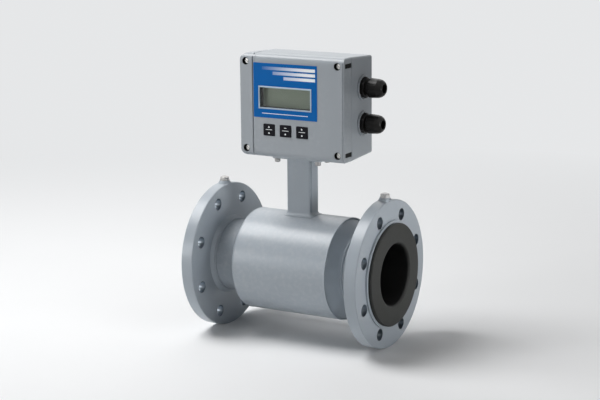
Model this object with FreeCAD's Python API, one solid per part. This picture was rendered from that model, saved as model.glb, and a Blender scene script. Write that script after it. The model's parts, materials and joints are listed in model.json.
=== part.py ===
"""Electromagnetic flow meter, DN100: a lined measuring tube between two flanges, with its
coils and electrodes in a welded drum, and a converter housing with a hinged door on a neck.

Millimetres. The origin is the middle of the flow bore, on its axis. +X runs along the flow
towards the outlet flange, +Z is up, and the display faces -Y.
"""
import FreeCAD
import Part

import math
import os

V = FreeCAD.Vector
ORIGIN = V(0, 0, 0)
X_AXIS = V(1, 0, 0)
Y_AXIS = V(0, 1, 0)
Z_AXIS = V(0, 0, 1)

# --- clearances -------------------------------------------------------------------------
weld_gap = 0.1            # between a welded or bonded piece and what it fits on
part_gap = 0.3            # between pieces that move past each other
thread_gap = 0.1          # between a screw's shank and the hole that it is screwed into
bolt_gap = 0.4            # between a screw's shank and the hole that it passes through
pin_gap = 0.05            # between the hinge pins and their holes

# --- measuring tube, liner and flanges (plate flange DN100 PN16) --------------------------
face_to_face = 310.0      # between the two sealing faces of the liner
bore_d = 91.0             # clear bore of the liner
pipe_od = 108.0
pipe_wall = 3.6
flare_t = 5.0             # the liner's turned-out sealing rings
flare_d = 152.6
flare_edge_r = 1.2
lip_r = 4.0               # rounding where the bore meets the sealing face
flange_od = 220.0
flange_t = 19.0
raised_face_d = 160.0
raised_face_t = 3.0
bolt_circle = 180.0
bolt_count = 8
bolt_hole_d = 18.0
flange_edge = 1.0
flange_weld = 6.0         # leg of the weld on the back of the flange
weld_toe = 0.8

# --- earth screws on the flange rims -------------------------------------------------------
earth_boss_top_r = 7.5
earth_boss_root_r = 12.2
earth_boss_h = 4.0
earth_boss_sink = 4.0     # how far the boss reaches into the rim
earth_screw_af = 13.0
earth_head_h = 5.6
earth_shank_d = 6.0
earth_shank_l = 11.0
earth_washer_d = 14.6
earth_washer_t = 1.4

# --- drum round the coils ------------------------------------------------------------------
drum_od = 152.4
drum_wall = 2.0
drum_l = 155.0
end_plate_t = 2.5
end_plate_seat = 4.0      # how far the end plate's rim sits inside the drum
end_plate_rise = 12.5     # how far the plate's cone stands out of the drum
throat_d = 117.0          # where the cone ends and its weld on the tube starts
throat_weld = 4.0

# --- coils, cores, yoke and electrodes -----------------------------------------------------
shoe_t = 2.6
shoe_angle = 70.0         # degrees of the tube that a pole shoe covers
shoe_l = 64.0
core_d = 19.0
coil_od = 53.0
coil_t = 7.5
coil_edge_r = 1.5
yoke_w = 26.0
yoke_t = 2.2
electrode_head_d = 13.0
electrode_head_t = 2.4
electrode_stem_d = 6.0
electrode_l = 21.0        # from the liner's bore to the end of the stem
bush_d = 10.0
bush_flange_d = 17.0
bush_flange_t = 2.5
electrode_nut_af = 11.0
electrode_nut_t = 4.0

# --- neck ----------------------------------------------------------------------------------
neck_h = 84.2             # from the top of the drum to the plate
neck_w = 40.0             # along the flow
neck_d = 25.0             # across the flow
neck_wall = 2.5
neck_corner_r = 2.5
neck_weld = 5.0           # radius of the weld round the neck's foot
neck_weld_toe = 0.6
neck_groove_w = 4.0       # folded seam along the neck's front corner
neck_groove_t = 1.4
neck_groove_inset = 1.0   # from the neck's front
cable_way_w = 33.0
cable_way_d = 13.0
plate_w = 84.0
plate_d = 40.0
plate_t = 4.0
plate_corner_r = 6.0
neck_gasket_t = 1.0
neck_screw_x = 34.5
neck_screw_y = 14.0
neck_screw_d = 6.0
neck_screw_l = 14.0
neck_head_d = 8.5
neck_head_h = 5.0
neck_socket_af = 4.0
neck_washer_d = 11.0
neck_washer_t = 1.2
neck_boss_d = 11.0        # bosses on the housing's floor for the screws
neck_boss_h = 9.0

# --- converter housing ---------------------------------------------------------------------
box_x = 8.25              # middle of the housing
split_front = 0.5         # from the neck's plate forward to where door and housing meet
box_w = 172.5
box_d = 88.5
box_h = 152.0             # where door and housing meet, their highest place
back_draft = 3.6          # how far top and bottom draw in towards the back
foot_t = 0.6              # raised pad under the housing
cover_d = 25.0            # depth of the door and of the hinge strip
left_corner_r = 10.0
right_corner_r = 3.5
back_edge_r = 2.5
front_edge_r = 9.0
box_wall = 4.0
cover_wall = 3.0
cover_gap = 0.6           # between the covers and the housing
gasket_w = 1.8
gasket_t = 1.8
gasket_inset = 1.1        # from the housing's outside to the gasket
screw_inset_left = 9.3    # from the housing's left side to the strip's screws
screw_inset_right = 10.3
screw_inset_z = 11.5
pillar_r = 5.9
cover_screw_d = 4.8
strip_screw_grip = 12.0   # length of the strip's screws in the housing's pillars
door_screw_grip = 6.0     # length of the door's captive screws in the pillars
door_screw_hole_d = 7.6   # wide enough for a screw's end to swing out with the door
cover_head_d = 8.0
cover_head_h = 3.0
cover_head_slot_w = 1.3
cover_head_slot_t = 1.3
recess_d = 11.0           # round recess of each cover screw
recess_t = 7.0
post_r = 7.4
side_slot_l = 19.5        # open slots in the door's side beside its screws
side_slot_h = 6.7
keeper_recess = 0.7       # how far the keepers in those slots sit below the surface
edge_groove_w = 1.0       # fine line along the door's free edge
edge_groove_t = 0.8
edge_groove_inset = 1.2

# --- hinge between strip and door ----------------------------------------------------------
strip_w = 20.9
seam = 0.8
hinge_inset = 2.0         # from the door's front and left faces to the hinge line
seam_edge_r = 1.2         # rounding of both edges along the seam
ear_l = 12.0              # height of the strip's two hinge ears
pin_d = 2.0
pin_in_ear = 5.0
pin_in_door = 10.0
rib_w = 7.0               # rib inside the door that holds the pins
rib_d = 7.0

# --- front label, display and keys ---------------------------------------------------------
label_w = 106.4
label_h = 80.3
label_t = 0.4
label_corner_r = 1.0
label_top = 12.7          # from the top of the door
display_shift = -0.5      # from the label's middle
display_drop = 50.6       # from the label's top
bezel_w = 89.0
bezel_h = 33.5
bezel_lip = 2.1
bezel_proud = 0.8
bezel_depth = 0.6         # how far the bezel reaches into the door
window_t = 1.5
shroud_wall = 2.2
shroud_l = 7.8
lcd_t = 2.5
key_shift = 0.2           # from the label's middle
key_pitch = 27.7
key_drop = 17.9           # from the label's lower edge
key_w = 19.3
key_h = 17.4
key_corner_r = 1.2
key_proud = 0.8
key_flange = 1.5
key_flange_t = 1.2
key_travel = 1.2
key_stem_d = 6.0
switch_w = 7.0
switch_t = 3.0
board_t = 1.6
front_board_w = 98.0
front_board_h = 92.0
front_board_rise = 5.6    # above the middle between display and keys
front_board_y = 13.0      # from the door's front to the board
chip_t = 2.2
front_chips = (           # along X and up from the board's middle, width, height
    (-26.0, 14.0, 18.0, 12.0),
    (12.0, 16.0, 12.0, 12.0),
    (2.0, -18.0, 26.0, 8.0),
)
board_screw_d = 3.0
board_screw_core_d = 2.4
board_screw_grip = 4.0    # length of a board's screws in their standoffs
board_screw_head_d = 5.6
board_screw_head_t = 1.8
board_screw_inset = 4.0
standoff_d = 6.4

# --- main board in the housing -------------------------------------------------------------
main_board_w = 128.0
main_board_h = 104.0
main_board_shift = -2.25  # from the housing's middle
main_board_rise = 1.0
board_margin_side = 12.0  # from the main board's edges to what stands on it
board_margin_top = 10.0
board_margin_foot = 9.0
board_space = 4.0         # between neighbours on the main board
main_standoff_l = 8.0
transformer_w = 42.0
transformer_h = 36.0
transformer_t = 20.0
pole_pitch = 7.6
terminal_h = 12.0
terminal_t = 13.0
signal_poles = 9
power_poles = 4
relay_w = 15.0
relay_h = 20.0
relay_t = 14.0
capacitor_d = 13.0
capacitor_t = 17.0
capacitor_shift = 6.0     # from the board's middle
capacitor_rise = 4.0

# --- cable glands --------------------------------------------------------------------------
gland_back = 2.35         # from the middle of the housing's side towards the back
gland_rise = 1.9          # middle between the two glands, from the housing's middle
gland_spacing = 52.6
gland_hole_d = 20.0
gland_boss_d = 36.0
gland_boss_t = 1.0
gland_washer_t = 1.2
gland_af = 27.0
gland_collar_l = 5.5
gland_thread_l = 15.0     # outer thread, under the dome nut
gland_thread_d = 21.0
gland_bore_d = 14.0
gland_seal_bore_d = 11.0
gland_nut_l = 22.5
gland_nut_d = 29.0
gland_nut_end_d = 17.0
gland_nut_opening_d = 13.0
gland_nut_gap = 5.0       # between collar and dome nut
gland_ribs = 12
locknut_af = 26.0
locknut_t = 4.0

# --- places worked out from the sizes above ------------------------------------------------
bore_r = bore_d / 2
pipe_r = pipe_od / 2
pipe_ir = pipe_r - pipe_wall
half_l = face_to_face / 2
raised_x = half_l - flare_t
disc_x = raised_x - raised_face_t
disc_back_x = disc_x - flange_t
flange_r = flange_od / 2
drum_r = drum_od / 2
drum_ir = drum_r - drum_wall
drum_end = drum_l / 2
plate_z = drum_r + neck_h
box_bottom = plate_z + plate_t + neck_gasket_t + foot_t
box_top = box_bottom + box_h
box_mid_z = box_bottom + box_h / 2
box_left = box_x - box_w / 2
box_right = box_x + box_w / 2
split_y = -plate_d / 2 - split_front
box_front = split_y - cover_d
box_back = box_front + box_d
cover_back = split_y - cover_gap
door_left = box_left + strip_w + seam
strip_right = box_left + strip_w
hinge_x = door_left + hinge_inset
hinge_y = box_front + hinge_inset
wall_y = box_front + cover_wall            # inner face of the door's front wall
label_left = door_left + seam_edge_r
label_x = label_left + label_w / 2
label_z1 = box_top - label_top
label_z0 = label_z1 - label_h
display_x = label_x + display_shift
display_z = label_z1 - display_drop
key_x = label_x + key_shift
key_z = label_z0 - key_drop
board_y = box_front + front_board_y
front_board_z = (display_z + key_z) / 2 + front_board_rise
main_board_x = box_x + main_board_shift
main_board_z = box_mid_z + main_board_rise
main_board_y = box_back - box_wall - main_standoff_l - board_t
left_screw_x = box_left + screw_inset_left
right_screw_x = box_right - screw_inset_right
screw_heights = (box_bottom + screw_inset_z, box_top - screw_inset_z)
gland_y = (split_y + box_back) / 2 + gland_back
gland_z = box_mid_z + gland_rise
gland_heights = {"upper": gland_z + gland_spacing / 2, "lower": gland_z - gland_spacing / 2}
key_places = {
    "left": key_x - key_pitch,
    "middle": key_x,
    "right": key_x + key_pitch,
}


# --- helpers -------------------------------------------------------------------------------
def block(x0, x1, y0, y1, z0, z1):
    """Box between two corners."""
    return Part.makeBox(x1 - x0, y1 - y0, z1 - z0, V(x0, y0, z0))


def rod(diameter, length, start, axis):
    """Cylinder from a start point along an axis."""
    return Part.makeCylinder(diameter / 2, length, start, axis)


def ring(outer_d, inner_d, length, start, axis):
    """Plain ring or washer."""
    return rod(outer_d, length, start, axis).cut(rod(inner_d, length, start, axis))


def straight_edges(shape, axis):
    """The straight edges of a shape that run along an axis, or within a few degrees of it."""
    found = []
    for edge in shape.Edges:
        if edge.Curve.TypeId != "Part::GeomLine":
            continue
        if abs(edge.tangentAt(edge.FirstParameter).dot(axis)) > 0.99:
            found.append(edge)
    return found


def rounded_block(x0, x1, y0, y1, z0, z1, axis, radius):
    """Box with its four edges along an axis rounded."""
    solid = block(x0, x1, y0, y1, z0, z1)
    return solid.makeFillet(radius, straight_edges(solid, axis))


def turned(profile, start=ORIGIN, axis=X_AXIS, across=Z_AXIS):
    """Solid of revolution from (along, radius) points."""
    points = [start + axis * along + across * radius for along, radius in profile]
    wire = Part.makePolygon(points + [points[0]])
    return Part.Face(wire).revolve(start, axis, 360)


def circle_edges(shape, radius, along, axis=X_AXIS):
    """The round edges of one radius whose centres lie at one place along an axis."""
    found = []
    for edge in shape.Edges:
        curve = edge.Curve
        if curve.TypeId != "Part::GeomCircle" or abs(curve.Radius - radius) > 0.01:
            continue
        if abs(curve.Center.dot(axis) - along) < 0.01:
            found.append(edge)
    return found


def hexagon(across_flats, length, start, axis, turn=0.0):
    """Hexagonal prism from a start point along an axis."""
    radius = across_flats / math.sqrt(3)
    side = Z_AXIS if abs(axis.dot(Z_AXIS)) < 0.5 else X_AXIS
    other = axis.cross(side)
    points = []
    for step in range(7):
        angle = math.radians(60 * step + turn)
        points.append(start + side * (radius * math.cos(angle)) + other * (radius * math.sin(angle)))
    return Part.Face(Part.makePolygon(points)).extrude(axis * length)


def hex_head(across_flats, length, start, axis):
    """Hexagonal head or nut with its free corners turned off."""
    radius = across_flats / math.sqrt(3)
    bevel = radius * 0.12
    crown = turned(
        [(0, 0), (0, radius), (length - bevel * 0.7, radius), (length, radius - bevel), (length, 0)],
        start, axis, Z_AXIS if abs(axis.dot(Z_AXIS)) < 0.5 else X_AXIS)
    return hexagon(across_flats, length, start, axis).common(crown)


def mirrored(solid):
    """The same solid at the other end of the tube."""
    return solid.mirror(ORIGIN, X_AXIS)


def fused(solids):
    """One solid from several that meet."""
    whole = solids[0].multiFuse(solids[1:])
    return whole.removeSplitter()


def group(solids):
    """Separate solids kept together in one node."""
    return Part.makeCompound(solids)


# --- measuring tube, liner and flanges -----------------------------------------------------
def measuring_tube():
    """Steel tube between the flanges, with holes for the electrodes."""
    start = V(-raised_x, 0, 0)
    tube = ring(pipe_od, pipe_od - 2 * pipe_wall, 2 * raised_x, start, X_AXIS)
    hole = rod(bush_d + 2 * weld_gap, pipe_od, V(0, -pipe_r, 0), Y_AXIS)
    return tube.cut(hole)


def liner():
    """Rubber liner: a tube turned out over both raised faces."""
    tube_r = pipe_ir - weld_gap
    flare_r = flare_d / 2
    solid = turned([
        (-half_l, bore_r), (half_l, bore_r), (half_l, flare_r), (raised_x, flare_r),
        (raised_x, tube_r), (-raised_x, tube_r), (-raised_x, flare_r), (-half_l, flare_r)])
    lips = circle_edges(solid, bore_r, half_l) + circle_edges(solid, bore_r, -half_l)
    solid = solid.makeFillet(lip_r, lips)
    rims = circle_edges(solid, flare_r, half_l) + circle_edges(solid, flare_r, -half_l)
    solid = solid.makeChamfer(flare_edge_r, rims)
    for side in (-1, 1):
        axis = Y_AXIS * side
        solid = solid.cut(rod(electrode_head_d + 2 * weld_gap, electrode_head_t + weld_gap,
                              axis * (bore_r - 0.01), axis))
        solid = solid.cut(rod(electrode_stem_d + 2 * weld_gap, pipe_wall + bore_r, axis * bore_r, axis))
        solid = solid.cut(block(-electrode_head_d / 2, electrode_head_d / 2,
                                -bore_r, bore_r, -electrode_head_d / 2, electrode_head_d / 2)
                          .common(rod(electrode_head_d, 2 * bore_r, V(0, -bore_r, 0), Y_AXIS)))
    return solid


def flange():
    """Plate flange at the outlet: disc, raised face, bolt holes, back weld and earth boss."""
    hole_r = pipe_r + weld_gap
    face_r = raised_face_d / 2
    disc = turned([
        (disc_back_x - flange_weld, hole_r), (raised_x, hole_r), (raised_x, face_r), (disc_x, face_r),
        (disc_x, flange_r - flange_edge), (disc_x - flange_edge, flange_r),
        (disc_back_x + flange_edge, flange_r), (disc_back_x, flange_r - flange_edge),
        (disc_back_x, hole_r + flange_weld), (disc_back_x - flange_weld, hole_r + weld_toe)])
    middle = V(disc_back_x + flange_t / 2, 0, flange_r - earth_boss_sink)
    boss = Part.makeCone(earth_boss_root_r, earth_boss_top_r, earth_boss_h + earth_boss_sink, middle)
    within = flange_t / 2 - flange_edge
    boss = boss.common(block(middle.x - within, middle.x + within, -2 * earth_boss_root_r,
                             2 * earth_boss_root_r, 0, 2 * flange_r))
    disc = disc.fuse(boss)
    holes = []
    for step in range(bolt_count):
        angle = math.radians(360 / bolt_count * (step + 0.5))
        place = V(disc_back_x - 1, bolt_circle / 2 * math.cos(angle), bolt_circle / 2 * math.sin(angle))
        holes.append(rod(bolt_hole_d, flange_t + 2, place, X_AXIS))
    tapped = V(middle.x, 0, earth_boss_z() - earth_shank_l)
    holes.append(rod(earth_shank_d + 2 * thread_gap, earth_shank_l + 1, tapped, Z_AXIS))
    return disc.cut(holes).removeSplitter()


def earth_boss_z():
    """Height of the earth bosses' seats."""
    return flange_r + earth_boss_h


def earth_washer():
    """Washer under the outlet's earth screw."""
    seat = V(disc_back_x + flange_t / 2, 0, earth_boss_z())
    return ring(earth_washer_d, earth_shank_d + 2 * bolt_gap, earth_washer_t, seat, Z_AXIS)


def earth_screw():
    """Earth screw of the outlet flange, with a domed hexagonal head."""
    seat = V(disc_back_x + flange_t / 2, 0, earth_boss_z() + earth_washer_t)
    head = hexagon(earth_screw_af, earth_head_h, seat, Z_AXIS)
    dome_r = earth_screw_af * 0.95
    dome = Part.makeSphere(dome_r, seat + V(0, 0, earth_head_h - dome_r))
    shank = rod(earth_shank_d, earth_shank_l, seat - V(0, 0, earth_shank_l - 1), Z_AXIS)
    return head.common(dome).fuse(shank)


# --- drum, coils and electrodes ------------------------------------------------------------
def coil_drum():
    """Drum round the coils, with the cable way up into the neck."""
    drum = ring(drum_od, drum_od - 2 * drum_wall, drum_l, V(-drum_end, 0, 0), X_AXIS)
    way = rounded_block(-cable_way_w / 2, cable_way_w / 2, -cable_way_d / 2, cable_way_d / 2,
                        drum_ir - 10, drum_r + 10, Z_AXIS, neck_corner_r)
    return drum.cut(way)


def end_plate():
    """Pressed end plate at the outlet, a cone from the drum's edge down to the tube."""
    rim_r = drum_ir - weld_gap
    hole_r = pipe_r + weld_gap
    throat_r = throat_d / 2
    tip = drum_end + end_plate_rise
    return turned([
        (drum_end - end_plate_seat, rim_r), (drum_end, rim_r), (tip, throat_r),
        (tip + throat_weld, hole_r + weld_toe), (tip + throat_weld, hole_r),
        (tip - end_plate_t, hole_r), (tip - end_plate_t, throat_r - end_plate_t),
        (drum_end - end_plate_t / 2, rim_r - end_plate_t),
        (drum_end - end_plate_seat, rim_r - end_plate_t)])


def pole_core(side):
    """Pole shoe that lies on the tube, with the round core of the coil on it."""
    inner_r = pipe_r + weld_gap
    shoe = ring(2 * (inner_r + shoe_t), 2 * inner_r, shoe_l, V(-shoe_l / 2, 0, 0), X_AXIS)
    reach = (inner_r + shoe_t) * math.tan(math.radians(shoe_angle / 2)) * 1.2
    wedge = Part.Face(Part.makePolygon([
        V(-shoe_l / 2, 0, 0), V(-shoe_l / 2, -reach, 1.2 * (inner_r + shoe_t)),
        V(-shoe_l / 2, reach, 1.2 * (inner_r + shoe_t)), V(-shoe_l / 2, 0, 0)])).extrude(X_AXIS * shoe_l)
    core_top = yoke_inner_r() - weld_gap
    core = rod(core_d, core_top - inner_r - shoe_t / 2, V(0, 0, inner_r + shoe_t / 2), Z_AXIS)
    crown = rod(2 * core_top, shoe_l, V(-shoe_l / 2, 0, 0), X_AXIS)
    upper = shoe.common(wedge).fuse(core.common(crown)).removeSplitter()
    return upper if side > 0 else upper.mirror(ORIGIN, Z_AXIS)


def coil(side):
    """Wound coil round its pole core."""
    base = V(0, 0, pipe_r + weld_gap + shoe_t + weld_gap)
    winding = ring(coil_od, core_d + 2 * weld_gap, coil_t, base, Z_AXIS)
    outer = circle_edges(winding, coil_od / 2, base.z, Z_AXIS)
    outer += circle_edges(winding, coil_od / 2, base.z + coil_t, Z_AXIS)
    upper = winding.makeChamfer(coil_edge_r, outer)
    return upper if side > 0 else upper.mirror(ORIGIN, Z_AXIS)


def yoke_inner_r():
    """Inner radius of the iron band that closes the field round the coils."""
    return drum_ir - weld_gap - yoke_t


def coil_yoke():
    """Iron band just inside the drum."""
    outer = 2 * (drum_ir - weld_gap)
    return ring(outer, 2 * yoke_inner_r(), yoke_w, V(-yoke_w / 2, 0, 0), X_AXIS)


def electrode(side):
    """Electrode with its flat head flush in the liner."""
    axis = Y_AXIS * side
    head = rod(electrode_head_d, electrode_head_t, axis * bore_r, axis)
    stem = rod(electrode_stem_d, electrode_l, axis * bore_r, axis)
    return head.fuse(stem)


def electrode_bush(side):
    """Insulating bush of an electrode in the tube's wall."""
    axis = Y_AXIS * side
    inner = electrode_stem_d + 2 * weld_gap
    body = ring(bush_d, inner, pipe_wall + bush_flange_t, axis * (pipe_ir + weld_gap), axis)
    collar = ring(bush_flange_d, inner, bush_flange_t, axis * (pipe_r + weld_gap), axis)
    return body.fuse(collar).removeSplitter()


def electrode_nut(side):
    """Nut that clamps an electrode on its bush."""
    axis = Y_AXIS * side
    seat = axis * (pipe_r + 2 * weld_gap + bush_flange_t)
    nut = hex_head(electrode_nut_af, electrode_nut_t, seat, axis)
    return nut.cut(rod(electrode_stem_d + 2 * thread_gap, electrode_nut_t, seat, axis))


# --- neck ----------------------------------------------------------------------------------
def neck():
    """Rectangular neck welded on the drum, with its foot weld and folded front seam."""
    top = plate_z
    seat_r = drum_r + weld_gap
    toe_r = seat_r + neck_weld_toe
    start = V(-drum_end, 0, 0)
    tube = rounded_block(-neck_w / 2, neck_w / 2, -neck_d / 2, neck_d / 2, drum_ir, top, Z_AXIS,
                         neck_corner_r)
    solid = tube.fuse(rod(2 * toe_r, drum_l, start, X_AXIS))
    foot = []
    for edge in solid.Edges:
        near = all(abs(vertex.X) < neck_w / 2 + 0.01 and vertex.Z > drum_ir for vertex in edge.Vertexes)
        if near and all(abs(math.hypot(vertex.Y, vertex.Z) - toe_r) < 0.01 for vertex in edge.Vertexes):
            foot.append(edge)
    solid = solid.makeFillet(neck_weld, foot)
    reach = neck_weld + neck_weld_toe
    bounds = rounded_block(-neck_w / 2 - reach, neck_w / 2 + reach, -neck_d / 2 - reach,
                           neck_d / 2 + reach, drum_ir / 2, top + 1, Z_AXIS, neck_corner_r + reach)
    groove_y = -neck_d / 2 + neck_groove_inset
    groove = block(neck_w / 2 - neck_groove_t, neck_w / 2 + 1, groove_y, groove_y + neck_groove_w,
                   drum_r + neck_weld, top + 1)
    inside = rounded_block(-neck_w / 2 + neck_wall, neck_w / 2 - neck_wall, -neck_d / 2 + neck_wall,
                           neck_d / 2 - neck_wall, 0, top + 1, Z_AXIS, neck_corner_r / 2)
    solid = solid.common(bounds).cut(rod(2 * seat_r, drum_l, start, X_AXIS))
    return solid.cut(groove).cut(inside).removeSplitter()


def plate_outline(z0, z1, inset=0.0):
    """Rounded plate over the neck with the cable way through it."""
    solid = rounded_block(-plate_w / 2 + inset, plate_w / 2 - inset, -plate_d / 2 + inset,
                          plate_d / 2 - inset, z0, z1, Z_AXIS, plate_corner_r - inset)
    return solid.cut(cable_way(z0, z1))


def cable_way(z0, z1):
    """The passage for the coil and electrode leads."""
    return rounded_block(-cable_way_w / 2, cable_way_w / 2, -cable_way_d / 2, cable_way_d / 2,
                         z0, z1, Z_AXIS, neck_corner_r)


def neck_screw_places(z):
    """The four screws that hold the converter on the neck."""
    return [V(sx * neck_screw_x, sy * neck_screw_y, z) for sx in (-1, 1) for sy in (-1, 1)]


def neck_plate():
    """Plate welded on top of the neck."""
    plate = plate_outline(plate_z, plate_z + plate_t)
    holes = [rod(neck_screw_d + 2 * bolt_gap, plate_t, place, Z_AXIS)
             for place in neck_screw_places(plate_z)]
    return plate.cut(holes)


def neck_gasket():
    """Flat gasket between the plate and the housing's foot."""
    base = plate_z + plate_t
    gasket = plate_outline(base, base + neck_gasket_t, 1.0)
    holes = [rod(neck_screw_d + 2 * bolt_gap, neck_gasket_t, place, Z_AXIS)
             for place in neck_screw_places(base)]
    return gasket.cut(holes)


def neck_washers():
    """Washers under the four screws."""
    return group([ring(neck_washer_d, neck_screw_d + 2 * bolt_gap, neck_washer_t, place, Z_AXIS)
                  for place in neck_screw_places(plate_z - neck_washer_t)])


def neck_screws():
    """Four socket screws from below into the housing's floor."""
    screws = []
    for seat in neck_screw_places(plate_z - neck_washer_t):
        head = rod(neck_head_d, neck_head_h, seat - V(0, 0, neck_head_h), Z_AXIS)
        head = head.makeChamfer(0.6, circle_edges(head, neck_head_d / 2, seat.z - neck_head_h, Z_AXIS))
        socket = hexagon(neck_socket_af, neck_head_h / 2, seat - V(0, 0, neck_head_h), Z_AXIS)
        shank = rod(neck_screw_d, neck_screw_l, seat, Z_AXIS)
        screws.append(head.cut(socket).fuse(shank))
    return group(screws)


# --- converter housing ---------------------------------------------------------------------
def round_corners(solid, inset):
    """The same solid with the four corners of the outline rounded."""
    for radius, side in ((left_corner_r, -1), (right_corner_r, 1)):
        corners = [edge for edge in straight_edges(solid, Y_AXIS)
                   if (edge.CenterOfMass.x - box_x) * side > box_w / 4
                   and abs(edge.CenterOfMass.x - box_x) > box_w / 2 - inset - 0.01]
        solid = solid.makeFillet(max(radius - inset, 0.5), corners)
    return solid


def cover_outline(y0, y1, inset=0.0):
    """The outline of the covers seen from the front, as a prism along Y."""
    solid = block(box_left + inset, box_right - inset, y0, y1, box_bottom + inset, box_top - inset)
    return round_corners(solid, inset)


def housing_outline(y0, y1, inset=0.0):
    """The outline of the housing, whose top and bottom draw in towards the back."""
    points = []
    for y, side in ((y0, -1), (y1, -1), (y1, 1), (y0, 1)):
        drawn = back_draft * (y - split_y) / (box_back - split_y)
        points.append(V(box_left + inset, y, box_mid_z + side * (box_h / 2 - inset - drawn)))
    solid = Part.Face(Part.makePolygon(points + [points[0]])).extrude(X_AXIS * (box_w - 2 * inset))
    return round_corners(solid, inset)


def screw_places(x):
    """The upper and lower screw on one side of the covers."""
    return [V(x, box_front, z) for z in screw_heights]


def converter_housing():
    """Cast housing, open at the front, with pillars, bosses, foot and gland seats."""
    shell = housing_outline(split_y, box_back)
    back = [edge for edge in shell.Edges if abs(edge.CenterOfMass.y - box_back) < 0.01]
    shell = shell.makeFillet(back_edge_r, back)
    foot = rounded_block(-plate_w / 2, plate_w / 2, -plate_d / 2, plate_d / 2,
                         box_bottom - foot_t, box_bottom + box_wall, Z_AXIS, plate_corner_r)
    shell = shell.fuse(foot)
    for z in gland_heights.values():
        shell = shell.fuse(rod(gland_boss_d, box_wall + gland_boss_t,
                               V(box_right - box_wall, gland_y, z), X_AXIS))
    cavity = housing_outline(split_y - 1, box_back - box_wall, box_wall)
    shell = shell.cut(cavity)
    solids = [shell]
    for x in (left_screw_x, right_screw_x):
        for place in screw_places(x):
            start = V(place.x, split_y, place.z)
            pillar = rod(2 * pillar_r, box_back - box_wall / 2 - split_y, start, Y_AXIS)
            solids.append(pillar)
    for place in neck_screw_places(box_bottom):
        solids.append(rod(neck_boss_d, box_wall + neck_boss_h, place, Z_AXIS))
    for x, z in main_board_corners():
        solids.append(rod(standoff_d, main_standoff_l + 1,
                          V(x, box_back - box_wall - main_standoff_l, z), Y_AXIS))
    shell = shell.multiFuse(solids[1:])
    cuts = [cable_way(box_bottom - foot_t - 1, box_bottom + 2 * box_wall)]
    outer = housing_outline(split_y - 1, split_y + gasket_t - part_gap, gasket_inset)
    inner = housing_outline(split_y - 1, split_y + gasket_t - part_gap, gasket_inset + gasket_w)
    cuts.append(outer.cut(inner))
    for x, hole_d, grip in ((left_screw_x, cover_screw_d + 2 * thread_gap, strip_screw_grip),
                            (right_screw_x, door_screw_hole_d, door_screw_grip)):
        for place in screw_places(x):
            cuts.append(rod(hole_d, grip + 2, V(place.x, split_y, place.z), Y_AXIS))
    for place in neck_screw_places(box_bottom - foot_t):
        cuts.append(rod(neck_screw_d + 2 * thread_gap, neck_screw_l - plate_t - neck_gasket_t + 1,
                        place, Z_AXIS))
    for z in gland_heights.values():
        cuts.append(rod(gland_hole_d + 2 * thread_gap, 3 * box_wall,
                        V(box_right - 2 * box_wall, gland_y, z), X_AXIS))
    for x, z in main_board_corners():
        cuts.append(rod(board_screw_core_d + 2 * thread_gap, main_standoff_l - 1,
                        V(x, box_back - box_wall - main_standoff_l, z), Y_AXIS))
    return shell.cut(cuts).removeSplitter()


def door_gasket():
    """Rubber cord in the groove of the housing's rim."""
    y0 = split_y - part_gap
    y1 = split_y + gasket_t - part_gap
    slack = 0.05
    outer = housing_outline(y0, y1, gasket_inset + slack)
    return outer.cut(housing_outline(y0, y1, gasket_inset + gasket_w - slack))


def cover_blank():
    """The whole front cover before it is parted into hinge strip and door."""
    outline = cover_outline(box_front, cover_back)
    side = block(box_left - 1, box_right + 1, box_front, cover_back, box_bottom, box_top)
    lying = [edge for edge in straight_edges(side, X_AXIS)
             if abs(edge.CenterOfMass.y - box_front) < 0.01]
    return outline.common(side.makeFillet(front_edge_r, lying))


def cover_screw_cuts(x):
    """Recesses and holes of the cover screws on one side."""
    cuts = []
    for place in screw_places(x):
        cuts.append(rod(recess_d, recess_t, place, Y_AXIS))
        cuts.append(rod(cover_screw_d + 2 * bolt_gap, cover_d, place, Y_AXIS))
    return cuts


def cover_screw(place, grip):
    """Slotted cover screw, its head sunk in the recess."""
    seat = place + V(0, recess_t, 0)
    head = rod(cover_head_d, cover_head_h, seat - V(0, cover_head_h, 0), Y_AXIS)
    head = head.makeChamfer(0.5, circle_edges(head, cover_head_d / 2, seat.y - cover_head_h, Y_AXIS))
    half = cover_head_slot_w / 2
    slot = block(place.x - cover_head_d, place.x + cover_head_d, seat.y - cover_head_h - 1,
                 seat.y - cover_head_h + cover_head_slot_t, place.z - half, place.z + half)
    slot.rotate(place, Y_AXIS, 35)
    shank = rod(cover_screw_d, split_y + grip - seat.y, seat, Y_AXIS)
    return head.cut(slot).fuse(shank)


def hinge_ends():
    """Lower and upper height of each hinge ear, and the height of its face towards the door."""
    return ((box_bottom, box_bottom + ear_l, box_bottom + ear_l),
            (box_top - ear_l, box_top, box_top - ear_l))


def hinge_pin(face_z, radius, slack=0.0):
    """Pin, or its hole with some slack, through the gap between an ear and the door."""
    into_ear = pin_in_ear + slack
    into_door = pin_in_door + slack
    lower = face_z - (into_ear if face_z < box_mid_z else into_door)
    return Part.makeCylinder(radius, into_ear + into_door, V(hinge_x, hinge_y, lower), Z_AXIS)


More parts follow.
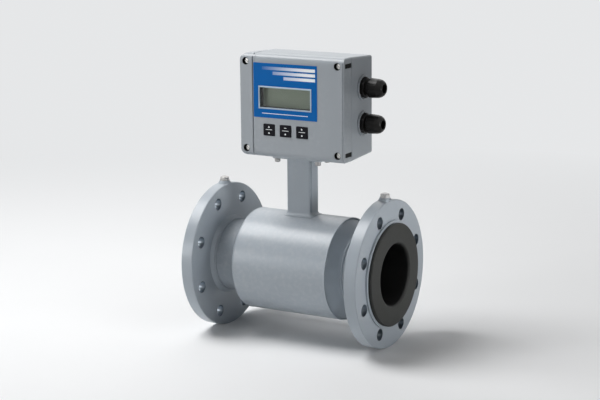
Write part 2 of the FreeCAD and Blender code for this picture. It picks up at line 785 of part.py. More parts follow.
def hinge_strip():
    """Fixed strip on the left of the cover that carries the door's hinge knuckles."""
    blank = cover_blank().common(block(box_left - 1, strip_right, box_front - 1, cover_back + 1,
                                       box_bottom - 1, box_top + 1))
    edge = [edge for edge in straight_edges(blank, Z_AXIS)
            if abs(edge.CenterOfMass.x - strip_right) < 0.01
            and abs(edge.CenterOfMass.y - box_front) < 0.01]
    blank = blank.makeFillet(seam_edge_r, edge)
    inside = block(box_left + cover_wall, strip_right - cover_wall, wall_y, cover_back + 1,
                   box_bottom + 2 * screw_inset_z, box_top - 2 * screw_inset_z)
    strip = blank.cut(inside)
    for low, high, face_z in hinge_ends():
        barrel = rod(2 * hinge_inset, high - low, V(hinge_x, hinge_y, low), Z_AXIS)
        arm = block(strip_right - cover_wall, hinge_x, hinge_y, hinge_y + hinge_inset, low, high)
        ear = barrel.fuse(arm).common(cover_blank())
        strip = strip.fuse(ear).cut(hinge_pin(face_z, pin_d / 2 + pin_gap))
    return strip.cut(cover_screw_cuts(left_screw_x)).removeSplitter()


def hinge_pins():
    """The two pins of the hinge."""
    return group([hinge_pin(face_z, pin_d / 2) for _, _, face_z in hinge_ends()])


def door():
    """Deep cast door with its display window, key holes, screw posts and hinge rib."""
    blank = cover_blank().common(block(door_left, box_right + 1, box_front - 1, cover_back + 1,
                                       box_bottom - 1, box_top + 1))
    edge = [edge for edge in straight_edges(blank, Z_AXIS)
            if abs(edge.CenterOfMass.x - door_left) < 0.01
            and abs(edge.CenterOfMass.y - box_front) < 0.01]
    blank = blank.makeFillet(seam_edge_r, edge)
    inside = block(door_left + cover_wall, box_right - cover_wall, wall_y, cover_back + 1,
                   box_bottom + cover_wall, box_top - cover_wall)
    kept = [block(door_left, door_left + rib_w, box_front, box_front + rib_d, box_bottom, box_top)]
    for place in screw_places(right_screw_x):
        kept.append(rod(2 * post_r, cover_d, place, Y_AXIS))
        kept.append(block(place.x, box_right, box_front, cover_back, place.z - post_r, place.z + post_r))
        far_z = box_top if place.z > box_mid_z else box_bottom
        kept.append(block(place.x - post_r, box_right, box_front, cover_back,
                          min(place.z, far_z), max(place.z, far_z)))
    for x, z in front_board_corners():
        kept.append(rod(standoff_d, board_y - box_front, V(x, box_front, z), Y_AXIS))
    inside = inside.cut(kept)
    solid = blank.cut(inside)
    cuts = cover_screw_cuts(right_screw_x)
    cuts.append(bezel_opening(box_front - 1, wall_y + 1))
    for x in key_places.values():
        cuts.append(rounded_block(x - key_w / 2 - part_gap, x + key_w / 2 + part_gap, box_front - 1,
                                  wall_y + 1, key_z - key_h / 2 - part_gap,
                                  key_z + key_h / 2 + part_gap, Y_AXIS, key_corner_r + part_gap))
    for z in screw_heights:
        cuts.append(block(right_screw_x, box_right + 1, cover_back - side_slot_l, cover_back + 1,
                          z - side_slot_h / 2, z + side_slot_h / 2))
    groove_x = box_right - edge_groove_inset
    cuts.append(block(groove_x - edge_groove_w, groove_x, box_front - 1, box_front + edge_groove_t,
                      box_bottom - 1, box_top + 1))
    room = hinge_inset + part_gap
    for low, high, face_z in hinge_ends():
        low = low - 1 if low == box_bottom else low - part_gap
        high = high + 1 if high == box_top else high + part_gap
        cuts.append(rod(2 * room, high - low, V(hinge_x, hinge_y, low), Z_AXIS))
        cuts.append(block(door_left - 1, hinge_x, box_front - 1, hinge_y + room, low, high))
        cuts.append(hinge_pin(face_z, pin_d / 2 + pin_gap, part_gap))
    for x, z in front_board_corners():
        depth = board_screw_grip + 2
        cuts.append(rod(board_screw_core_d + 2 * thread_gap, depth, V(x, board_y - depth, z), Y_AXIS))
    return solid.cut(cuts).removeSplitter()


def strip_screws():
    """The two screws of the hinge strip."""
    return group([cover_screw(place, strip_screw_grip) for place in screw_places(left_screw_x)])


def door_screws():
    """The two captive screws of the door."""
    return group([cover_screw(place, door_screw_grip) for place in screw_places(right_screw_x)])


def screw_keepers():
    """Black plastic keepers in the side slots, which hold the door's screws captive."""
    keepers = []
    half = side_slot_h / 2 - weld_gap
    for place in screw_places(right_screw_x):
        solid = block(right_screw_x + weld_gap, box_right - keeper_recess,
                      cover_back - side_slot_l + weld_gap, cover_back - weld_gap,
                      place.z - half, place.z + half)
        solid = solid.cut(rod(recess_d, recess_t + weld_gap, place, Y_AXIS))
        keepers.append(solid.cut(rod(cover_screw_d + 2 * bolt_gap, cover_d, place, Y_AXIS)))
    return group(keepers)


# --- front label, display and keys ---------------------------------------------------------
def front_label():
    """Printed foil on the door, cut out round the display."""
    foil = rounded_block(label_left, label_left + label_w, box_front - label_t, box_front,
                         label_z0, label_z1, Y_AXIS, label_corner_r)
    return foil.cut(bezel_opening(box_front - 1, box_front + 1))


def bezel_opening(y0, y1):
    """The opening that the bezel fits, in the foil and in the door."""
    half_w = bezel_w / 2 + weld_gap
    half_h = bezel_h / 2 + weld_gap
    return block(display_x - half_w, display_x + half_w, y0, y1, display_z - half_h, display_z + half_h)


def display_frame(outer_w, outer_h, lip, y0, y1):
    """Rectangular frame round the display."""
    outer = block(display_x - outer_w / 2, display_x + outer_w / 2, y0, y1,
                  display_z - outer_h / 2, display_z + outer_h / 2)
    return outer.cut(block(display_x - outer_w / 2 + lip, display_x + outer_w / 2 - lip, y0 - 1, y1 + 1,
                           display_z - outer_h / 2 + lip, display_z + outer_h / 2 - lip))


def display_bezel():
    """Thin pale frame let into the door round the window."""
    frame = display_frame(bezel_w, bezel_h, bezel_lip, box_front - bezel_proud, box_front + bezel_depth)
    front = [edge for edge in frame.Edges if abs(edge.CenterOfMass.y - box_front + bezel_proud) < 0.01
             and (abs(abs(edge.CenterOfMass.x - display_x) - bezel_w / 2) < 0.01
                  or abs(abs(edge.CenterOfMass.z - display_z) - bezel_h / 2) < 0.01)]
    return frame.makeChamfer(bezel_proud * 0.6, front)


def display_plate(y0, thickness):
    """Rectangular plate as large as the bezel."""
    return block(display_x - bezel_w / 2, display_x + bezel_w / 2, y0, y0 + thickness,
                 display_z - bezel_h / 2, display_z + bezel_h / 2)


def window_y():
    """Front of the clear pane, against the back of the bezel."""
    return box_front + bezel_depth + weld_gap


def shroud_y():
    """Front of the shroud, against the back of the pane."""
    return window_y() + window_t + weld_gap


def display_window():
    """Clear pane behind the bezel."""
    return display_plate(window_y(), window_t)


def display_shroud():
    """Dark shroud between the window and the display cell."""
    return display_frame(bezel_w, bezel_h, shroud_wall, shroud_y(), shroud_y() + shroud_l)


def display_cell():
    """Liquid crystal cell behind the shroud."""
    return display_plate(shroud_y() + shroud_l + weld_gap, lcd_t)


def front_board_corners():
    """Screws of the board behind the door."""
    across = front_board_w / 2 - board_screw_inset
    up = front_board_h / 2 - board_screw_inset
    return [(display_x + sx * across, front_board_z + sz * up) for sx in (-1, 1) for sz in (-1, 1)]


def board(x, z, width, height, y, corners):
    """Circuit board with its screw holes."""
    solid = block(x - width / 2, x + width / 2, y, y + board_t, z - height / 2, z + height / 2)
    return solid.cut([rod(board_screw_d + bolt_gap, board_t, V(cx, y, cz), Y_AXIS) for cx, cz in corners])


def board_screws(y, corners, side):
    """Pan-head screws on a board whose seat is at y; the heads stand towards side."""
    screws = []
    for x, z in corners:
        seat = V(x, y, z)
        head = rod(board_screw_head_d, board_screw_head_t, seat, Y_AXIS * side)
        shank = rod(board_screw_core_d, board_t + board_screw_grip, seat, Y_AXIS * -side)
        screws.append(head.fuse(shank))
    return group(screws)


def display_board():
    """Board that carries the display cell and the key switches."""
    return board(display_x, front_board_z, front_board_w, front_board_h, board_y, front_board_corners())


def display_board_screws():
    """Screws of the display board."""
    return board_screws(board_y + board_t, front_board_corners(), 1)


def display_board_chips():
    """Driver chips on the back of the display board."""
    y0 = board_y + board_t
    chips = []
    for dx, dz, width, height in front_chips:
        chips.append(block(display_x + dx - width / 2, display_x + dx + width / 2, y0, y0 + chip_t,
                           front_board_z + dz - height / 2, front_board_z + dz + height / 2))
    return group(chips)


def key(x):
    """Push key with its retaining flange and stem."""
    cap = rounded_block(x - key_w / 2, x + key_w / 2, box_front - key_proud, wall_y + part_gap + 0.2,
                        key_z - key_h / 2, key_z + key_h / 2, Y_AXIS, key_corner_r)
    front = [edge for edge in cap.Edges
             if abs(edge.CenterOfMass.y - box_front + key_proud) < 0.01]
    cap = cap.makeChamfer(0.4, front)
    y0 = wall_y + part_gap
    flange_w = key_w / 2 + key_flange
    flange_h = key_h / 2 + key_flange
    collar = block(x - flange_w, x + flange_w, y0, y0 + key_flange_t, key_z - flange_h, key_z + flange_h)
    stem_end = board_y - switch_t - key_travel - part_gap
    stem = rod(key_stem_d, stem_end - y0, V(x, y0, key_z), Y_AXIS)
    return fused([cap, collar, stem])


def key_switches():
    """One switch on the board behind each key."""
    switches = []
    for x in key_places.values():
        half = switch_w / 2
        body = block(x - half, x + half, board_y - switch_t * 0.6, board_y, key_z - half, key_z + half)
        switches.append(body.fuse(rod(switch_w * 0.5, switch_t, V(x, board_y - switch_t, key_z), Y_AXIS)))
    return group(switches)


# --- main board ----------------------------------------------------------------------------
def main_board_corners():
    """Screws of the main board."""
    across = main_board_w / 2 - board_screw_inset
    up = main_board_h / 2 - board_screw_inset
    return [(main_board_x + sx * across, main_board_z + sz * up) for sx in (-1, 1) for sz in (-1, 1)]


def main_board():
    """Board on the back wall of the housing."""
    return board(main_board_x, main_board_z, main_board_w, main_board_h, main_board_y,
                 main_board_corners())


def main_board_screws():
    """Screws of the main board."""
    return board_screws(main_board_y, main_board_corners(), -1)


def power_transformer():
    """Potted transformer of the power supply."""
    x0 = main_board_x - main_board_w / 2 + board_margin_side
    z1 = main_board_z + main_board_h / 2 - board_margin_top
    solid = block(x0, x0 + transformer_w, main_board_y - transformer_t, main_board_y,
                  z1 - transformer_h, z1)
    return solid.makeFillet(1.5, straight_edges(solid, Y_AXIS))


def terminal_row(x0, poles):
    """Row of screw terminals along the foot of the main board."""
    z0 = main_board_z - main_board_h / 2 + board_margin_foot
    y0 = main_board_y - terminal_t
    solid = block(x0, x0 + poles * pole_pitch, y0, main_board_y, z0, z0 + terminal_h)
    cuts = []
    for step in range(poles):
        middle = x0 + (step + 0.5) * pole_pitch
        cuts.append(rod(pole_pitch * 0.6, terminal_t * 0.5, V(middle, y0, z0 + terminal_h * 0.62), Y_AXIS))
        cuts.append(block(middle - pole_pitch * 0.3, middle + pole_pitch * 0.3, y0 + terminal_t * 0.4,
                          y0 + terminal_t * 0.8, z0 - 1, z0 + terminal_h * 0.3))
    return solid.cut(cuts)


def terminal_starts():
    """Left ends of the signal and power terminals."""
    left = main_board_x - main_board_w / 2 + board_margin_side
    return left, left + (signal_poles + 0.8) * pole_pitch


def terminal_screws():
    """Clamping screws of all terminals."""
    screws = []
    z = main_board_z - main_board_h / 2 + board_margin_foot + terminal_h * 0.62
    y0 = main_board_y - terminal_t * 0.8
    for start, poles in zip(terminal_starts(), (signal_poles, power_poles)):
        for step in range(poles):
            x = start + (step + 0.5) * pole_pitch
            head = rod(pole_pitch * 0.5, terminal_t * 0.3 - weld_gap, V(x, y0, z), Y_AXIS)
            slot = block(x - pole_pitch, x + pole_pitch, y0 - 1, y0 + 0.9, z - 0.4, z + 0.4)
            screws.append(head.cut(slot))
    return group(screws)


def relays():
    """Two output relays."""
    z1 = main_board_z + main_board_h / 2 - board_margin_top
    first = main_board_x + board_space
    return group([block(x, x + relay_w, main_board_y - relay_t, main_board_y, z1 - relay_h, z1)
                  for x in (first, first + relay_w + board_space)])


def capacitors():
    """Two smoothing capacitors."""
    z = main_board_z + capacitor_rise
    first = main_board_x + capacitor_shift + capacitor_d / 2
    cans = []
    for x in (first, first + capacitor_d + board_space):
        can = rod(capacitor_d, capacitor_t, V(x, main_board_y - capacitor_t, z), Y_AXIS)
        rim = circle_edges(can, capacitor_d / 2, main_board_y - capacitor_t, Y_AXIS)
        cans.append(can.makeChamfer(0.8, rim))
    return group(cans)


# --- cable glands --------------------------------------------------------------------------
def gland_x(which):
    """Places along X of a gland: its seat, the collar's end and the nut's start."""
    seat = box_right + gland_boss_t + gland_washer_t
    collar_end = seat + gland_collar_l
    tightened = gland_nut_gap if which == "upper" else gland_nut_gap * 0.6
    return seat, collar_end, collar_end + tightened


def gland_body(which):
    """Body of a gland: hexagonal collar, thread through the wall and thread under the nut."""
    seat, collar_end, _ = gland_x(which)
    z = gland_heights[which]
    inner_end = box_right - box_wall - locknut_t - 3
    collar = hex_head(gland_af, gland_collar_l, V(seat, gland_y, z), X_AXIS)
    solid = fused([
        collar,
        rod(gland_hole_d, seat - inner_end, V(inner_end, gland_y, z), X_AXIS),
        rod(gland_thread_d, gland_thread_l, V(collar_end, gland_y, z), X_AXIS)])
    solid = solid.cut(rod(gland_bore_d, collar_end - inner_end, V(inner_end, gland_y, z), X_AXIS))
    return solid.cut(rod(gland_bore_d + 3, gland_thread_l, V(collar_end, gland_y, z), X_AXIS))


def gland_seal(which):
    """Rubber ring that grips the cable."""
    _, collar_end, _ = gland_x(which)
    return ring(gland_bore_d + 3 - 2 * weld_gap, gland_seal_bore_d, gland_thread_l - 1,
                V(collar_end + 0.5, gland_y, gland_heights[which]), X_AXIS)


def gland_washer(which):
    """Flat seal between a gland's collar and the housing."""
    seat, _, _ = gland_x(which)
    place = V(seat - gland_washer_t, gland_y, gland_heights[which])
    return ring(gland_af + 2, gland_hole_d + 2 * weld_gap, gland_washer_t, place, X_AXIS)


def gland_nut(which):
    """Ribbed dome nut."""
    _, collar_end, start = gland_x(which)
    axis_point = V(0, gland_y, gland_heights[which])
    end = start + gland_nut_l
    inner_r = gland_thread_d / 2 + weld_gap
    opening_r = gland_nut_opening_d / 2
    base_r = gland_nut_d / 2
    shoulder = collar_end + gland_thread_l + 0.5
    solid = turned([
        (start, inner_r), (start, base_r - 0.8), (start + 0.8, base_r),
        (start + gland_nut_l * 0.62, base_r * 0.95), (start + gland_nut_l * 0.8, base_r * 0.87),
        (start + gland_nut_l * 0.93, base_r * 0.73), (end, gland_nut_end_d / 2),
        (end, opening_r + 0.6), (end - 0.6, opening_r), (shoulder, opening_r), (shoulder, inner_r)],
        axis_point)
    cuts = []
    for step in range(gland_ribs):
        angle = math.radians(360 / gland_ribs * step)
        place = axis_point + V(start - 1, (base_r + 0.7) * math.cos(angle), (base_r + 0.7) * math.sin(angle))
        cuts.append(rod(3.0, gland_nut_l * 0.62, place, X_AXIS))
    return solid.cut(cuts)


def gland_locknuts():
    """Locknuts of both glands inside the housing."""
    nuts = []
    for z in gland_heights.values():
        place = V(box_right - box_wall - locknut_t - weld_gap, gland_y, z)
        nut = hex_head(locknut_af, locknut_t, place, X_AXIS)
        nuts.append(nut.cut(rod(gland_hole_d + 2 * thread_gap, locknut_t, place, X_AXIS)))
    return group(nuts)


# --- every node ----------------------------------------------------------------------------
def nodes():
    """All sub-parts by name."""
    signal_x, power_x = terminal_starts()
    outlet = flange()
    plate = end_plate()
    washer = earth_washer()
    screw = earth_screw()
    parts = {
        "measuring_tube": measuring_tube(),
        "liner": liner(),
        "inlet_flange": mirrored(outlet),
        "outlet_flange": outlet,
        "earth_washers": group([mirrored(washer), washer]),
        "earth_screws": group([mirrored(screw), screw]),
        "coil_drum": coil_drum(),
        "inlet_end_plate": mirrored(plate),
        "outlet_end_plate": plate,
        "upper_pole_core": pole_core(1),
        "lower_pole_core": pole_core(-1),
        "upper_coil": coil(1),
        "lower_coil": coil(-1),
        "coil_yoke": coil_yoke(),
        "electrodes": group([electrode(side) for side in (-1, 1)]),
        "electrode_bushes": group([electrode_bush(side) for side in (-1, 1)]),
        "electrode_nuts": group([electrode_nut(side) for side in (-1, 1)]),
        "neck": neck(),
        "neck_plate": neck_plate(),
        "neck_gasket": neck_gasket(),
        "neck_washers": neck_washers(),
        "neck_screws": neck_screws(),
        "converter_housing": converter_housing(),
        "door_gasket": door_gasket(),
        "hinge_strip": hinge_strip(),
        "hinge_pins": hinge_pins(),
        "strip_screws": strip_screws(),
        "door": door(),
        "door_screws": door_screws(),
        "screw_keepers": screw_keepers(),
        "front_label": front_label(),
        "display_bezel": display_bezel(),
        "display_window": display_window(),
        "display_shroud": display_shroud(),
        "display_cell": display_cell(),
        "display_board": display_board(),
        "display_board_screws": display_board_screws(),
        "display_board_chips": display_board_chips(),
        "key_switches": key_switches(),
        "main_board": main_board(),
        "main_board_screws": main_board_screws(),
        "power_transformer": power_transformer(),
        "signal_terminals": terminal_row(signal_x, signal_poles),
        "power_terminals": terminal_row(power_x, power_poles),
        "terminal_screws": terminal_screws(),
        "relays": relays(),
        "capacitors": capacitors(),
        "gland_locknuts": gland_locknuts(),
    }
    for name, x in key_places.items():
        parts[name + "_key"] = key(x)
    for which in gland_heights:
        parts[which + "_gland_body"] = gland_body(which)
        parts[which + "_gland_washer"] = gland_washer(which)
        parts[which + "_gland_seal"] = gland_seal(which)
        parts[which + "_gland_nut"] = gland_nut(which)
    return parts


os.makedirs("parts", exist_ok=True)
for name, shape in nodes().items():
    shape.exportStep("parts/" + name + ".step")
    print(name, len(shape.Solids), "solids", round(shape.Volume / 1000, 2), "cm3", shape.isValid())
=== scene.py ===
"""Looks of the electromagnetic flow meter: finishes, welds, print and small fittings."""

import json
import logging
import math
from dataclasses import dataclass
from enum import Enum
from typing import Any, Callable, Dict, Iterable, List, Optional, Sequence, Tuple

import bmesh
import bpy
from mathutils import Matrix, Vector

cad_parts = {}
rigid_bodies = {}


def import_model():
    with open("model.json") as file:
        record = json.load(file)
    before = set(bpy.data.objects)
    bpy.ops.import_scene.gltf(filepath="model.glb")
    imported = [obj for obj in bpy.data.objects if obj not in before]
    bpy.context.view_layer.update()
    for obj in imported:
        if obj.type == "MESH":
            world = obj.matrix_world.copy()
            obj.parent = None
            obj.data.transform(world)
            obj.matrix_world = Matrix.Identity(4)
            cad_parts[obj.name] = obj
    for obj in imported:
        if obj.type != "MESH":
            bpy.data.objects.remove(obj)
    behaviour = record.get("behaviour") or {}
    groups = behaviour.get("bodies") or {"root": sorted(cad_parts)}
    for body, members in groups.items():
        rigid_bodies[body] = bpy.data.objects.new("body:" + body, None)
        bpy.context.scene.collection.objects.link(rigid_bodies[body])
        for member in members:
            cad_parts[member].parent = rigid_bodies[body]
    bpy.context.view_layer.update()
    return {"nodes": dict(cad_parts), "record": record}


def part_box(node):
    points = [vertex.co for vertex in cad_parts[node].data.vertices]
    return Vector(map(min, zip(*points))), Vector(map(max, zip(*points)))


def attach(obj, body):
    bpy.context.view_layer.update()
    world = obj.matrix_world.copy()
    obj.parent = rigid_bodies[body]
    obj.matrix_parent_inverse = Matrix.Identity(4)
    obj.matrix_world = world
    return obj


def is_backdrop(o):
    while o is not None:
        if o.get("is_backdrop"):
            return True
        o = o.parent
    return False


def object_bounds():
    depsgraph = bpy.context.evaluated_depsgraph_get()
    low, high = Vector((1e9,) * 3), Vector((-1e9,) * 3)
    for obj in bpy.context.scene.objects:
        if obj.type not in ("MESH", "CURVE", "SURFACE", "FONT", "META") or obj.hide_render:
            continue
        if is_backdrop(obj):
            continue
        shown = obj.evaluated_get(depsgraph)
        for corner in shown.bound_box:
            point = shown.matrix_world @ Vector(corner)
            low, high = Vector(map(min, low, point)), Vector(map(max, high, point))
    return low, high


MM = 0.001
X, Y, Z = Vector((1, 0, 0)), Vector((0, 1, 0)), Vector((0, 0, 1))
Colour = Tuple[float, float, float]
Point = Tuple[float, float, float]
Spot = Tuple[float, float]
Socket = bpy.types.NodeSocket
Sockets = Dict[Any, Any]
log = logging.getLogger("flow_meter")


# --- node trees ---
class Tree:
    """Adds and joins the nodes of one node tree."""

    def __init__(self, tree: bpy.types.NodeTree) -> None:
        """Starts with the tree's nodes removed."""
        self.tree = tree
        tree.nodes.clear()

    def add(self, kind: str, inputs: Optional[Sockets] = None, **settings: Any) -> bpy.types.Node:
        """Adds a node.

        Args:
            kind: Blender's type name of the node.
            inputs: input socket name or number to a plain value or an output socket.
            **settings: attributes of the node.

        Returns:
            The new node.
        """
        node = self.tree.nodes.new(kind)
        for name, value in settings.items():
            setattr(node, name, value)
        for key, value in (inputs or {}).items():
            self.feed(node.inputs[key], value)
        return node

    def feed(self, socket: Socket, value: Any) -> None:
        """Gives an input socket a plain value or a link.

        Args:
            socket: the input socket.
            value: a number, a tuple or an output socket.
        """
        if isinstance(value, Socket):
            self.tree.links.new(value, socket)
        elif isinstance(value, tuple) and len(value) == 3 and socket.type == "RGBA":
            socket.default_value = (*value, 1.0)
        else:
            socket.default_value = value

    def maths(self, operation: str, *values: Any) -> Socket:
        """Output of a Math node, from Blender's name of the operation and its inputs."""
        return self.add("ShaderNodeMath", dict(enumerate(values)), operation=operation).outputs[0]

    def mix(self, factor: Any, first: Any, second: Any) -> Socket:
        """Colour between the first, at factor 0, and the second, at factor 1."""
        inputs = {"Factor": factor, 6: first, 7: second}
        return self.add("ShaderNodeMix", inputs, data_type="RGBA").outputs[2]

    def span(self, value: Any, low: float, high: float, to_low: float = 0.0,
             to_high: float = 1.0) -> Socket:
        """The value mapped from low..high to to_low..to_high, and clamped."""
        inputs = {0: value, 1: low, 2: high, 3: to_low, 4: to_high}
        return self.add("ShaderNodeMapRange", inputs).outputs[0]

    def noise(self, where: Any, scale: Any, detail: float = 3.0) -> Socket:
        """Noise with about scale features a metre and detail octaves."""
        inputs = {"Vector": where, "Scale": scale, "Detail": detail}
        return self.add("ShaderNodeTexNoise", inputs).outputs["Fac"]

    def bump(self, height: Any, strength: float, distance: float) -> Socket:
        """Normal bent by a height, with the bump's strength and its depth in metres."""
        inputs = {"Strength": strength, "Distance": distance, "Height": height}
        return self.add("ShaderNodeBump", inputs).outputs[0]

    def place(self) -> Socket:
        """The piece's own coordinates in metres."""
        return self.add("ShaderNodeTexCoord").outputs["Object"]

    def normal(self) -> Socket:
        """The surface's normal before any bump."""
        return self.add("ShaderNodeNewGeometry").outputs["Normal"]

    def split(self, vector: Any) -> Any:
        """A vector's X, Y and Z sockets, by name."""
        return self.add("ShaderNodeSeparateXYZ", {0: vector}).outputs

    def radius(self, parts: Any, axes: str = "YZ") -> Socket:
        """Distance from the axis that is square to two others, from a split vector."""
        squares = [self.maths("MULTIPLY", parts[axis], parts[axis]) for axis in axes]
        return self.maths("SQRT", self.maths("ADD", *squares))


class Effect(Enum):
    """Effects that several finishes share, each one shader node group."""

    FILM = "paint_film"
    WEAR = "edge_wear"
    DUST = "dust"
    GRAIN = "moulded_grain"
    TURNED = "turned_rings"


class Effects:
    """Builds each shared effect once."""

    def __init__(self) -> None:
        """Starts with nothing built."""
        self.makers: Dict[Effect, Callable[[], None]] = {
            Effect.FILM: self._film,
            Effect.WEAR: self._wear,
            Effect.DUST: self._dust,
            Effect.GRAIN: self._grain,
            Effect.TURNED: self._turned,
        }
        self.built: Dict[Effect, bpy.types.NodeTree] = {}

    def use(self, tree: Tree, effect: Effect, **values: Any) -> Any:
        """Places an effect in a material.

        Args:
            tree: the material's tree.
            effect: which effect.
            **values: its inputs by name.

        Returns:
            Its output sockets, by name.
        """
        if effect not in self.built:
            self.makers[effect]()
        return tree.add("ShaderNodeGroup", values, node_tree=self.built[effect]).outputs

    def _group(self, effect: Effect, inputs: Dict[str, float],
               outputs: Sequence[str]) -> Tuple[Tree, Any, Any]:
        """Makes an empty group and keeps it under its effect.

        Args:
            effect: names the group.
            inputs: input names and their defaults.
            outputs: output names.

        Returns:
            The tree, the sockets that bring its inputs and the sockets that take its outputs.
        """
        group = bpy.data.node_groups.new(effect.value, "ShaderNodeTree")
        for name, default in inputs.items():
            socket = group.interface.new_socket(name, in_out="INPUT", socket_type="NodeSocketFloat")
            socket.default_value = default
        for name in outputs:
            group.interface.new_socket(name, in_out="OUTPUT", socket_type="NodeSocketFloat")
        tree = Tree(group)
        self.built[effect] = group
        return tree, tree.add("NodeGroupInput").outputs, tree.add("NodeGroupOutput").inputs

    def _film(self) -> None:
        """Sprayed paint: long faint streaks along the flow, and its surface's fine waves."""
        tree, given, out = self._group(
            Effect.FILM, {"Scale": 900.0, "Drift": 40.0}, ("Shade", "Height"))
        where = tree.place()
        stretch = {0: where, 1: (0.12, 1.0, 1.0)}
        drawn = tree.add("ShaderNodeVectorMath", stretch, operation="MULTIPLY").outputs[0]
        streaks = tree.maths("MULTIPLY", tree.noise(drawn, given["Drift"]), 0.8)
        specks = tree.maths("MULTIPLY", tree.noise(where, 2600.0, 1.0), 0.2)
        tree.feed(out["Shade"], tree.maths("ADD", streaks, specks))
        tree.feed(out["Height"], tree.noise(where, given["Scale"], 2.0))

    def _wear(self) -> None:
        """Where edges have been rubbed, broken up by noise."""
        tree, given, out = self._group(Effect.WEAR, {"Amount": 0.5, "Scale": 160.0}, ("Mask",))
        bent = tree.add("ShaderNodeNewGeometry").outputs["Pointiness"]
        chips = tree.span(tree.noise(tree.place(), given["Scale"], 6.0), 0.45, 0.7)
        rubbed = tree.maths("MULTIPLY", tree.span(bent, 0.56, 0.66), chips)
        tree.feed(out["Mask"], tree.maths("MULTIPLY", rubbed, given["Amount"]))

    def _dust(self) -> None:
        """A thin veil of dust on what faces up."""
        tree, given, out = self._group(Effect.DUST, {"Amount": 0.3}, ("Mask",))
        up = tree.span(tree.split(tree.normal())["Z"], 0.3, 1.0)
        patchy = tree.span(tree.noise(tree.place(), 60.0, 5.0), 0.3, 0.75, 0.3)
        veil = tree.maths("MULTIPLY", up, patchy)
        tree.feed(out["Mask"], tree.maths("MULTIPLY", veil, given["Amount"]))

    def _grain(self) -> None:
        """Fine spark-eroded grain of a moulding, with a slow change in shade."""
        tree, given, out = self._group(Effect.GRAIN, {"Scale": 1800.0}, ("Shade", "Height"))
        where = tree.place()
        cells = tree.add("ShaderNodeTexVoronoi", {"Vector": where, "Scale": given["Scale"]})
        pits = tree.maths("MULTIPLY", cells.outputs["Distance"], 0.6)
        tree.feed(out["Height"], tree.maths("ADD", pits, tree.noise(where, given["Scale"], 2.0)))
        tree.feed(out["Shade"], tree.noise(where, 45.0, 5.0))

    def _turned(self) -> None:
        """Fine rings about the flow axis, as a lathe leaves them."""
        tree, given, out = self._group(Effect.TURNED, {"Pitch": 0.0006}, ("Height",))
        rings = tree.maths("DIVIDE", tree.radius(tree.split(tree.place())), given["Pitch"])
        tree.feed(out["Height"], tree.maths("SINE", tree.maths("MULTIPLY", rings, math.tau)))


# --- finishes ---
def tint(colour: Colour, factor: float) -> Colour:
    """The colour made lighter or darker by a factor."""
    red, green, blue = (min(1.0, factor * part) for part in colour)
    return red, green, blue


@dataclass(frozen=True)
class Finish:
    """What every finish has."""

    name: str
    colour: Colour
    roughness: float = 0.5

    def material(self, effects: Effects) -> bpy.types.Material:
        """Builds the material.

        Args:
            effects: the shared effects.

        Returns:
            The material.
        """
        made = bpy.data.materials.new(self.name)
        made.use_nodes = True
        made.diffuse_color = (*self.colour, 1.0)
        tree = Tree(made.node_tree)
        sockets = {"Roughness": self.roughness, **self.dress(tree, effects)}
        shader = tree.add("ShaderNodeBsdfPrincipled", sockets)
        tree.add("ShaderNodeOutputMaterial", {"Surface": shader.outputs[0]})
        return made

    def dress(self, tree: Tree, effects: Effects) -> Sockets:
        """Works out what the shader's sockets take.

        Args:
            tree: the material's tree.
            effects: the shared effects.

        Returns:
            Socket names with their values. Without a roughness, the finish's own is used.
        """
        raise NotImplementedError


@dataclass(frozen=True)
class Paint(Finish):
    """Enamel or powder coat over metal."""

    peel: float = 0.0000035
    peel_scale: float = 420.0
    drift: float = 0.015
    worn: Colour = (0.52, 0.53, 0.54)
    wear: float = 0.35
    dusty: Colour = (0.46, 0.46, 0.45)
    dust: float = 0.10
    specular: float = 0.45

    def dress(self, tree: Tree, effects: Effects) -> Sockets:
        """Drifting colour, worn edges, dust and orange peel."""
        film = effects.use(tree, Effect.FILM, Scale=self.peel_scale)
        base = tree.mix(film["Shade"], tint(self.colour, 1 - self.drift),
                        tint(self.colour, 1 + self.drift))
        worn = effects.use(tree, Effect.WEAR, Amount=self.wear)["Mask"]
        dust = effects.use(tree, Effect.DUST, Amount=self.dust)["Mask"]
        rough = tree.span(film["Shade"], 0.2, 0.8, self.roughness - 0.01, self.roughness + 0.02)
        return {
            "Base Color": tree.mix(dust, tree.mix(worn, base, self.worn), self.dusty),
            "Roughness": tree.maths("ADD", rough, dust),
            "Specular IOR Level": self.specular,
            "Normal": tree.bump(film["Height"], 0.5, self.peel),
        }


@dataclass(frozen=True)
class FlangePaint(Paint):
    """Paint of the flanges, which leaves the walls of the bolt holes as unpainted metal, darkened
    to paint in the shade inside the holes.
    """

    # Darker than steel: unpainted metal, with the shade inside the holes painted into its colour.
    bare_metal_and_shade: Colour = (0.19, 0.215, 0.24)
    inner_r: float = 0.0807
    outer_r: float = 0.1000

    def dress(self, tree: Tree, effects: Effects) -> Sockets:
        """The paint, and unpainted metal on the walls between the two radii, its colour darkened as
        painted shade in the holes.
        """
        sockets = super().dress(tree, effects)
        radius = tree.radius(tree.split(tree.place()))
        across = tree.maths("ABSOLUTE", tree.split(tree.normal())["X"])
        between = tree.maths("MULTIPLY", tree.maths("GREATER_THAN", radius, self.inner_r),
                             tree.maths("LESS_THAN", radius, self.outer_r))
        hole = tree.maths("MULTIPLY", tree.maths("LESS_THAN", across, 0.5), between)
        sockets["Base Color"] = tree.mix(hole, sockets["Base Color"], self.bare_metal_and_shade)
        sockets["Metallic"] = hole
        return sockets


